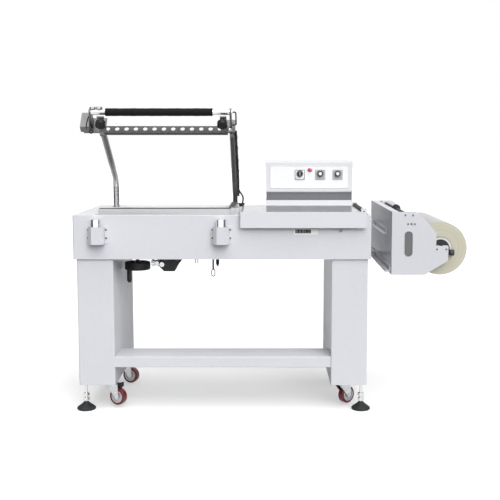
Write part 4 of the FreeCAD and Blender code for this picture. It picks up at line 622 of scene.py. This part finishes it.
def rounded_corners(width, height, radius, steps=6):
    """Corner points (u, v) of a rounded rectangle round the origin."""
    found = []
    for quarter, (su, sv) in enumerate(((1, 1), (-1, 1), (-1, -1), (1, -1))):
        for i in range(steps + 1):
            angle = math.pi / 2 * (quarter + i / steps)
            found.append((su * (width / 2 - radius) + radius * math.cos(angle),
                          sv * (height / 2 - radius) + radius * math.sin(angle)))
    return found


def lettering(name, text, matrix, size, body):
    data = bpy.data.curves.new(name, "FONT")
    data.body, data.size, data.align_x, data.align_y = text, size, "CENTER", "CENTER"
    data.extrude = 0.00015
    data.materials.append(ink.material)
    item = bpy.data.objects.new(name, data)
    scene.collection.objects.link(item)
    item.matrix_world = matrix
    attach(item, body)


# ---- control panel
TILT = math.atan2(BOX_LEAN, BOX_HEIGHT)
panel_low, panel_high = (mm(corner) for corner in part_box("control_panel"))
panel_right = Vector((1, 0, 0))
panel_up = Vector((0, math.sin(TILT), math.cos(TILT)))
panel_out = Vector((0, -math.cos(TILT), math.sin(TILT)))


def on_panel(x, up, out):
    """A point on the box front: x along it, up its face, and out from it, in mm."""
    origin = spot(x, BOX_FRONT, deck_top + BOX_RISE)
    return origin + panel_up * (up / 1000) + panel_out * (out / 1000)


def panel_frame(x, up, out):
    turn = Matrix((panel_right, panel_up, panel_out)).transposed().to_4x4()
    return Matrix.Translation(on_panel(x, up, out)) @ turn


def panel_plate(piece, x, up, out, width, height, radius, thickness):
    outline = [on_panel(x + u, up + v, out) for u, v in rounded_corners(width, height, radius)]
    return piece.slab(outline, panel_out * (thickness / 1000))


def ring_on_panel(piece, x, up, out, radius, wire):
    points = [on_panel(x + radius * math.cos(a), up + radius * math.sin(a), out)
              for a in (2 * math.pi * i / 40 for i in range(40))]
    return piece.tube(points, wire / 1000, 8, closed=True)


panel_x = (panel_low.x + panel_high.x) / 2
panel_plate(Piece("panel_foil"), panel_x, PANEL_MIDDLE, 0, 375, 110, 12, FOIL_OUT) \
    .fix(panel_white, "frame", "panel_sheet", edge=0.0005, replaces=["control_panel"])
border = Piece("panel_border")
outline = [on_panel(panel_x + u, PANEL_MIDDLE + v, FOIL_OUT + 0.1) for u, v in rounded_corners(371, 106, 10)]
border.tube(outline, 0.0006, 6, closed=True).fix(plate_grey, "frame", "panel_sheet")
for name, x in (("left", LEFT_TIMER_X), ("right", RIGHT_TIMER_X)):
    timer_plate = Piece("timer_plate_" + name)
    panel_plate(timer_plate, x, INSTRUMENT_HEIGHT, FOIL_OUT, PLATE_SIZE, PLATE_SIZE, 2.5, 2) \
        .fix(plate_grey, "frame", "panel_sheet", edge=0.0006)
    marks = Piece("timer_scale_" + name)
    ring_on_panel(marks, x, KNOB_HEIGHT, PRINT_OUT, 16.2, 0.35)
    for i in range(31):
        angle = math.radians(240 - 10 * i)
        reach = 18.4 if i % 5 == 0 else 17.4
        ends = [on_panel(x + r * math.cos(angle), KNOB_HEIGHT + r * math.sin(angle), PRINT_OUT)
                for r in (16.4, reach)]
        marks.tube(ends, 0.0003, 4)
    marks.fix(ink, "frame", "panel_sheet")
    for i, text in enumerate(("0", "2", "4", "6", "8", "10")):
        angle = math.radians(240 - 60 * i)
        aside, above = 21.4 * math.cos(angle), 21.4 * math.sin(angle) - 0.5
        place = panel_frame(x + aside, KNOB_HEIGHT + above, LETTER_OUT)
        lettering("timer_number_%s_%d" % (name, i), text, place, 0.0046, "frame")
panel_plate(Piece("switch_plate"), SWITCH_X, INSTRUMENT_HEIGHT, FOIL_OUT, PLATE_SIZE, PLATE_SIZE, 2.5, 2) \
    .fix(plate_white, "frame", "panel_sheet", edge=0.0006)
switch_edge = Piece("switch_border")
outline = [on_panel(SWITCH_X + u, INSTRUMENT_HEIGHT + v, PRINT_OUT) for u, v in rounded_corners(45, 45, 3)]
switch_edge.tube(outline, 0.0011, 6, closed=True)
ring_on_panel(switch_edge, SWITCH_X, KNOB_HEIGHT, PRINT_OUT, 16.0, 0.6)
switch_edge.fix(ink, "frame", "panel_sheet")
for name, text, aside in (("switch_off", "OFF", -17), ("switch_on", "ON", 16)):
    place = panel_frame(SWITCH_X + aside, INSTRUMENT_HEIGHT - 17, LETTER_OUT)
    lettering(name, text, place, 0.006, "frame")
panel_plate(Piece("switch_pointer"), SWITCH_X, KNOB_HEIGHT, 21.9, 2.2, 20, 1.0, 0.5) \
    .fix(plate_white, "switch_knob", "black_plastic")
lamp_centre = on_panel(LAMP_X, INSTRUMENT_HEIGHT + 23, FOIL_OUT)
bezel_profile = [(0.0128, 0), (0.0128, 0.0016), (0.0118, 0.0026), (0.0104, 0.0026)]
Piece("lamp_bezel").turned(bezel_profile, lamp_centre, panel_out).fix(chrome, "frame", "bright_steel")
lens_profile = [(0.0103, 0.001), (0.0103, 0.0045), (0.0096, 0.0065), (0.0078, 0.0081), (0.005, 0.0089),
                (0.0015, 0.009)]
Piece("lamp_lens").turned(lens_profile, lamp_centre, panel_out).fix(lamp_red, "frame", "panel_sheet")

# ---- white label on the cabinet front
label_low, label_high = spot(LABEL_LEFT, 0, LABEL_LOW), spot(LABEL_RIGHT, 0, LABEL_HIGH)
label = Piece("label_plate")
centre = (label_low + label_high) / 2
size = (label_high - label_low) * 1000
flat = [centre + Vector((u / 1000, 0, v / 1000)) for u, v in rounded_corners(size.x, size.z, 2)]
label.slab(flat, Vector((0, -0.0004, 0))).fix(sticker, "frame", "machine_paint")
band = Piece("label_band")
start, low, high = LABEL_LEFT + 7, LABEL_LOW + 8, LABEL_HIGH - 3
for width in (5, 3, 8, 4, 9, 3, 6, 10, 4, 7):
    corners = [(start, low), (start + width, low), (start + width, high), (start, high)]
    band.slab([spot(x, -0.45, z) for x, z in corners], Vector((0, -0.0002, 0)))
    start += width + 0.7
band.fix(ink, "frame", "machine_paint")

# ---- folded rims of the film unit's slots, and dark grey cups just behind them, whose grey is painted shade inside the slots
film_low, film_high = (mm(corner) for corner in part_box("film_frame"))


def slot_outline(y, smaller=0.0):
    """The film plates' slot at y, or one narrower and lower than it by the same amount."""
    width, height = SLOT_WIDTH - smaller, SLOT_HEIGHT - smaller
    return [spot(SLOT_X + u, y, SLOT_Z + v) for u, v in rounded_corners(width, height, width / 2 - 0.01, 10)]


rims = Piece("slot_rims")
for y in (film_low.y, film_high.y):
    rims.tube(slot_outline(y), 0.0011, 8, closed=True)
rims.fix(film_unit_paint, "frame", "film_unit_paint")
# Cups in dark grey behind each slot: painted shade inside the slots.
cups = Piece("slot_shade_cups")
for y, inward in ((film_low.y, 1), (film_high.y, -1)):
    cups.skin([slot_outline(y + inward * depth, smaller)
               for depth, smaller in ((1.5, 0.4), (12, 0.4), (13, 2), (13, 12))])
cups.fix(slot_shade_grey, "frame", "film_unit_paint")

# ---- painted shadow: a dark strip along the deck's front edge, where it meets the cabinet front
corners = [(GAP_SHADOW_LEFT, GAP_SHADOW_LOW), (GAP_SHADOW_RIGHT, GAP_SHADOW_LOW), (GAP_SHADOW_RIGHT, GAP_SHADOW_HIGH), (GAP_SHADOW_LEFT, GAP_SHADOW_HIGH)]
Piece("deck_gap_shadow").slab([spot(x, -0.3, z) for x, z in corners], Vector((0, -0.0002, 0))) \
    .fix(bracket_steel, "frame", "machine_paint")

# ---- shaft union in front of the lift gearbox
gearbox_front = mm(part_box("lift_gearbox")[0]).y
union = Piece("shaft_union")
union_profile = ((0.80, -2), (1.0, 0), (1.0, 4), (0.86, 6), (0.62, 6), (0.56, 3), (0.30, 3), (0.26, 6),
                 (0.1, 7))      # share of the radius, mm out
for x, z, radius in ((-279.0, 608.0, 11.5), (-301.0, 614.0, 9.5)):
    union.turned([(radius * share / 1000, out / 1000) for share, out in union_profile],
                 spot(x, gearbox_front, z), (0, -1, 0), 28)
shaft_line = ((-325, 6, 624), (-310, 3, 618), (-296, 2, 612))
union.tube([spot(x, gearbox_front + back, z) for x, back, z in shaft_line], 0.0055, 14)
union.fix(chrome, "frame", "bright_steel")

# ---- star knob of the roll lock
lock_low, lock_high = (mm(corner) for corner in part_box("roll_lock_knob"))
LOCK_RADIUS, LOCK_LENGTH, LOBES = (lock_high.z - lock_low.z) / 2000, 0.026, 6
lock_centre = spot(lock_high.x, (lock_low.y + lock_high.y) / 2, (lock_low.z + lock_high.z) / 2)
star = Piece("lock_star")
rings = []
for radius, back in ((0.35, 0), (0.55, 0.0006), (0.86, 0.0016), (0.985, 0.005), (1.0, 0.012), (0.95, 0.019),
                     (0.7, 0.0235), (0.5, LOCK_LENGTH), (0.3, LOCK_LENGTH)):
    ring = []
    for i in range(72):
        angle = 2 * math.pi * i / 72
        lobe = 1 - 0.13 * (1 - math.cos(LOBES * angle)) / 2 if radius > 0.6 else 1
        reach = LOCK_RADIUS * radius * lobe
        ring.append(lock_centre + Vector((-back, reach * math.cos(angle), reach * math.sin(angle))))
    rings.append(ring)
star.skin(rings)
star.turned([(0.004, 0), (0.004, 0.031)], lock_centre + Vector((-0.056, 0, 0)), (1, 0, 0), 20)
star.fix(black_plastic, "roll_lock_knob", "black_plastic", replaces=["roll_lock_knob"])

# ---- foam grip
grip_low, grip_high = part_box("foam_grip")
grip_y, grip_z = (grip_low.y + grip_high.y) / 2, (grip_low.z + grip_high.z) / 2
grip_radius, length = (grip_high.z - grip_low.z) / 2, grip_high.x - grip_low.x
foam = Finish("foam", (0.0095, 0.0095, 0.010), 0.7)
foam.shader.inputs["Specular IOR Level"].default_value = 0.12
foam.mottled(0.18, 0.004).uneven(0.08, 0.01).grained(0.0014, 0.00025).grained(0.02, 0.0004)
profile = [(0.0111, 0.0), (grip_radius - 0.0022, 0.0), (grip_radius - 0.0006, 0.0012), (grip_radius, 0.0034)]
steps = 60
for i in range(1, steps):
    share = i / steps
    wave = 0.00022 * math.sin(share * 31) + 0.00018 * math.sin(share * 74 + 1.2)
    profile.append((grip_radius - 0.0003 + wave, 0.0034 + share * (length - 0.0068)))
profile += [(grip_radius, length - 0.0034), (grip_radius - 0.0006, length - 0.0012),
            (grip_radius - 0.0022, length), (0.0111, length)]
grip = Piece("foam_sleeve").turned(profile, Vector((grip_low.x, grip_y, grip_z)), (1, 0, 0), 40)
grip = grip.fix(foam, "sealing_arm", "foam", replaces=["foam_grip"])

# ---- return spring: a close coil that stretches between the frame and the arm
spring_low, spring_high = (mm(corner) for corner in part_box("return_spring"))
spring_x, spring_y = (spring_low.x + spring_high.x) / 2, (spring_low.y + spring_high.y) / 2
coil_radius, turns = SPRING_RADIUS - SPRING_WIRE / 2, 17
coil = []
for i in range(turns * 20 + 1):
    angle = 2 * math.pi * i / 20
    z = spring_low.z + SPRING_WIRE / 2 + (spring_high.z - spring_low.z - SPRING_WIRE) * i / (turns * 20)
    coil.append(spot(spring_x + coil_radius * math.cos(angle), spring_y + coil_radius * math.sin(angle), z))
spring = Piece("spring_coil").tube(coil, SPRING_WIRE / 2000, 8)
spring = spring.fix(zinc, None, "zinc", replaces=["return_spring"])
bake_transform(spring)

# ---- chain of the table lift
chain_low, chain_high = (mm(corner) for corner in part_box("drive_chain"))
chain_y, chain_z = (chain_low.y + chain_high.y) / 2, (chain_low.z + chain_high.z) / 2
run_start, run_end = chain_low.x + CHAIN_RADIUS + 2.8, chain_high.x - CHAIN_RADIUS - 2.8
run, bend = run_end - run_start, math.pi * CHAIN_RADIUS


def chain_point(travel):
    """A point on the chain's path, its travel measured along it, and the way it runs there."""
    travel %= 2 * (run + bend)
    if travel < run:
        return Vector((run_start + travel, chain_y - CHAIN_RADIUS, chain_z)), Vector((1, 0, 0))
    if travel < run + bend:
        angle = (travel - run) / CHAIN_RADIUS - math.pi / 2
        centre, sign = run_end, 1
    elif travel < 2 * run + bend:
        return Vector((run_end - (travel - run - bend), chain_y + CHAIN_RADIUS, chain_z)), Vector((-1, 0, 0))
    else:
        angle = (travel - 2 * run - bend) / CHAIN_RADIUS + math.pi / 2
        centre, sign = run_start, 1
    across = Vector((math.cos(angle), math.sin(angle), 0))
    return Vector((centre, chain_y, chain_z)) + across * CHAIN_RADIUS, Vector((-across.y, across.x, 0)) * sign


LINK_PLATE = ((6.2, 0), (5.4, 1.7), (3.4, 2.3), (0, 1.6), (-3.4, 2.3), (-5.4, 1.7), (-6.2, 0), (-5.4, -1.7),
              (-3.4, -2.3), (0, -1.6), (3.4, -2.3), (5.4, -1.7))
chain = Piece("roller_chain")
links = int(2 * (run + bend) / CHAIN_PITCH) // 2 * 2
pitch = 2 * (run + bend) / links
for i in range(links):
    middle, ahead = chain_point((i + 0.5) * pitch)
    side = Vector((-ahead.y, ahead.x, 0))
    joint_point, _ = chain_point(i * pitch)
    chain.turned([(0.0021, -0.0022), (0.0021, 0.0022)], spot(*joint_point), (0, 0, 1), 10)
    offset = 1.3 if i % 2 else 2.0
    for z in (offset, -offset - 0.5):
        corners = [spot(*(middle + ahead * u + side * v + Vector((0, 0, z)))) for u, v in LINK_PLATE]
        chain.slab(corners, Vector((0, 0, 0.0005)))
chain.fix(black_oxide, "frame", "black_oxide", replaces=["drive_chain"])

# ---- glands, and the cable from the deck to the arm
deck_gland = [(0.0105, 0), (0.0105, 0.003), (0.0118, 0.004), (0.0135, 0.009), (0.016, 0.011),
              (0.0162, 0.0145), (0.0152, 0.0155), (0.0055, 0.0155)]
floor_gland = [(0.003, 0.0), (0.005, 0.001), (0.005, 0.007), (0.0072, 0.0085), (0.008, 0.011), (0.008, 0.03),
               (0.0065, 0.032), (0.0065, 0.085), (0.008, 0.09), (0.008, 0.11)]
gland_foot = mm(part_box("cable_gland")[0]).z
gland = Piece("gland")
gland.turned(deck_gland, spot(GLAND_X, GLAND_Y, deck_top), (0, 0, 1), 28)
gland.turned(floor_gland, spot(FLOOR_GLAND_X, FLOOR_GLAND_Y, gland_foot), (0, 0, 1), 24)
gland.fix(black_matte, "frame", "black_matte", replaces=["cable_gland"])
# The route is the part's own, measured from the gland's foot.
TAIL_ROUTE = ((4.0, 0.0, 15.0), (9.0, 3.0, 36.0), (3.0, 9.0, 54.0))
tail_points = [spot(GLAND_X + x, GLAND_Y + y, deck_top + z) for x, y, z in TAIL_ROUTE]
tail_points += [spot(58, pivot_y + 3, deck_top + 66), spot(CABLE_X, pivot_y, deck_top + 82)]
tail_route = smooth_route(tail_points)
tail = Piece("tail_cable").tube(tail_route, TAIL_DIAMETER / 2000, 14).fix(jacket, None, "cable_jacket")
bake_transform(tail)

# ---- ties round the right tube and its cables
tube_pivot = Vector((0, pivot_y, pivot_z))
tube_bend = Vector((0, pivot_y - TUBE_BEND_FORWARD, pivot_z + TUBE_BEND_RISE))
tube_front = Vector((0, TUBE_FRONT_Y, pivot_z + TUBE_FRONT_RISE))
CABLE_SIDE, TUBE_SIDE = 20.9, 11.6  # from the tube's middle, with a cable there and without
ties = Piece("cable_ties")
for start, end, share in ((tube_pivot, tube_bend, 0.6), (tube_bend, tube_front, 0.2),
                          (tube_bend, tube_front, 0.42), (tube_bend, tube_front, 0.68),
                          (tube_bend, tube_front, 0.9)):
    along = (end - start).normalized()
    up = Vector((0, along.z, -along.y))
    at = start + (end - start) * share
    rings = []
    for reach, shift in ((0, -2), (0, 2), (1.1, 2), (1.1, -2)):
        ring = []
        for i in range(32):
            angle = 2 * math.pi * i / 32
            out_x, out_up = math.cos(angle), math.sin(angle)
            width = CABLE_SIDE if out_x > 0 else TUBE_SIDE
            rise = CABLE_SIDE if out_up > 0 else TUBE_SIDE
            offset = up * ((rise + reach) * out_up) + along * shift
            ring.append(opened(RIGHT_TUBE_X + (width + reach) * out_x, *(at + offset)[1:]))
        rings.append(ring)
    ties.skin(rings, closed=True)
ties.fix(black_matte, "sealing_arm", "black_matte")

# ---- bolts and screws of the arm
arm_out = opened(0, 0, 0) - opened(0, 1, 0)
handle_low, handle_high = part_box("handle_tube")
handle_y, handle_z = (handle_low.y + handle_high.y) / 2, (handle_low.z + handle_high.z) / 2
arm_bolts = Piece("arm_bolts")
for x in (-564.0, -536.0):
    place = Vector((spot(x, 0, 0).x, handle_y, handle_z))
    arm_bolts.hex_head(place + Vector((0, 0, 0.011)), (0, 0, 1), 0.023, 0.012)
for x, z in ((-596, 20), (-596, 52), (-528, 14), (-528, 66), (4, 16), (4, 58)):
    arm_bolts.cap_head(opened(x, 64, deck_top + 32 + z), arm_out, 0.0045, 0.004)
arm_bolts.fix(bolt_grey, "sealing_arm", "zinc")

# ---- wire over the end box, and the grommet at its foot
WIRE_ROUTE = ((-594, 8, 873.5), (-595.5, -1, 874), (-596, -2.4, 884), (-595.5, -2.4, 905), (-592, -2.4, 928),
              (-586, -2.2, 944), (-580, 2, 954))    # x, y behind the box's front, z, with the arm closed
wire_route = smooth_route([opened(x, END_BOX_FRONT + back, z) for x, back, z in WIRE_ROUTE])
Piece("end_box_wire").tube(wire_route, 0.0021, 10).fix(jacket, "sealing_arm", "black_matte")
grommet_at = opened(-579, 60, 875)
grommet_profile = [(0.0035, 0), (0.0035, 0.006), (0.0075, 0.006), (0.0095, 0.004), (0.0095, -0.004)]
Piece("end_box_grommet").turned(grommet_profile, grommet_at, (0, -1, 0), 28) \
    .fix(jacket, "sealing_arm", "black_matte")
Piece("grommet_core").turned([(0.0034, 0.002), (0.001, 0.0035)], grommet_at, (0, -1, 0), 20) \
    .fix(bolt_grey, "sealing_arm", "zinc")

# ---- bolts of the pivot's bearings, and a screw at the cabinet's corner
frame_bolts = Piece("frame_bolts")
for x in (-502.0, 2.0):
    for y in (pivot_y - 14.5, pivot_y + 14.5):
        frame_bolts.cap_head(spot(x, y, deck_top), (0, 0, 1), 0.0045, 0.004)
frame_bolts.cap_head(spot(612, 18, deck_top), (0, 0, 1), 0.0045, 0.004)
frame_bolts.fix(chrome, "frame", "bright_steel")
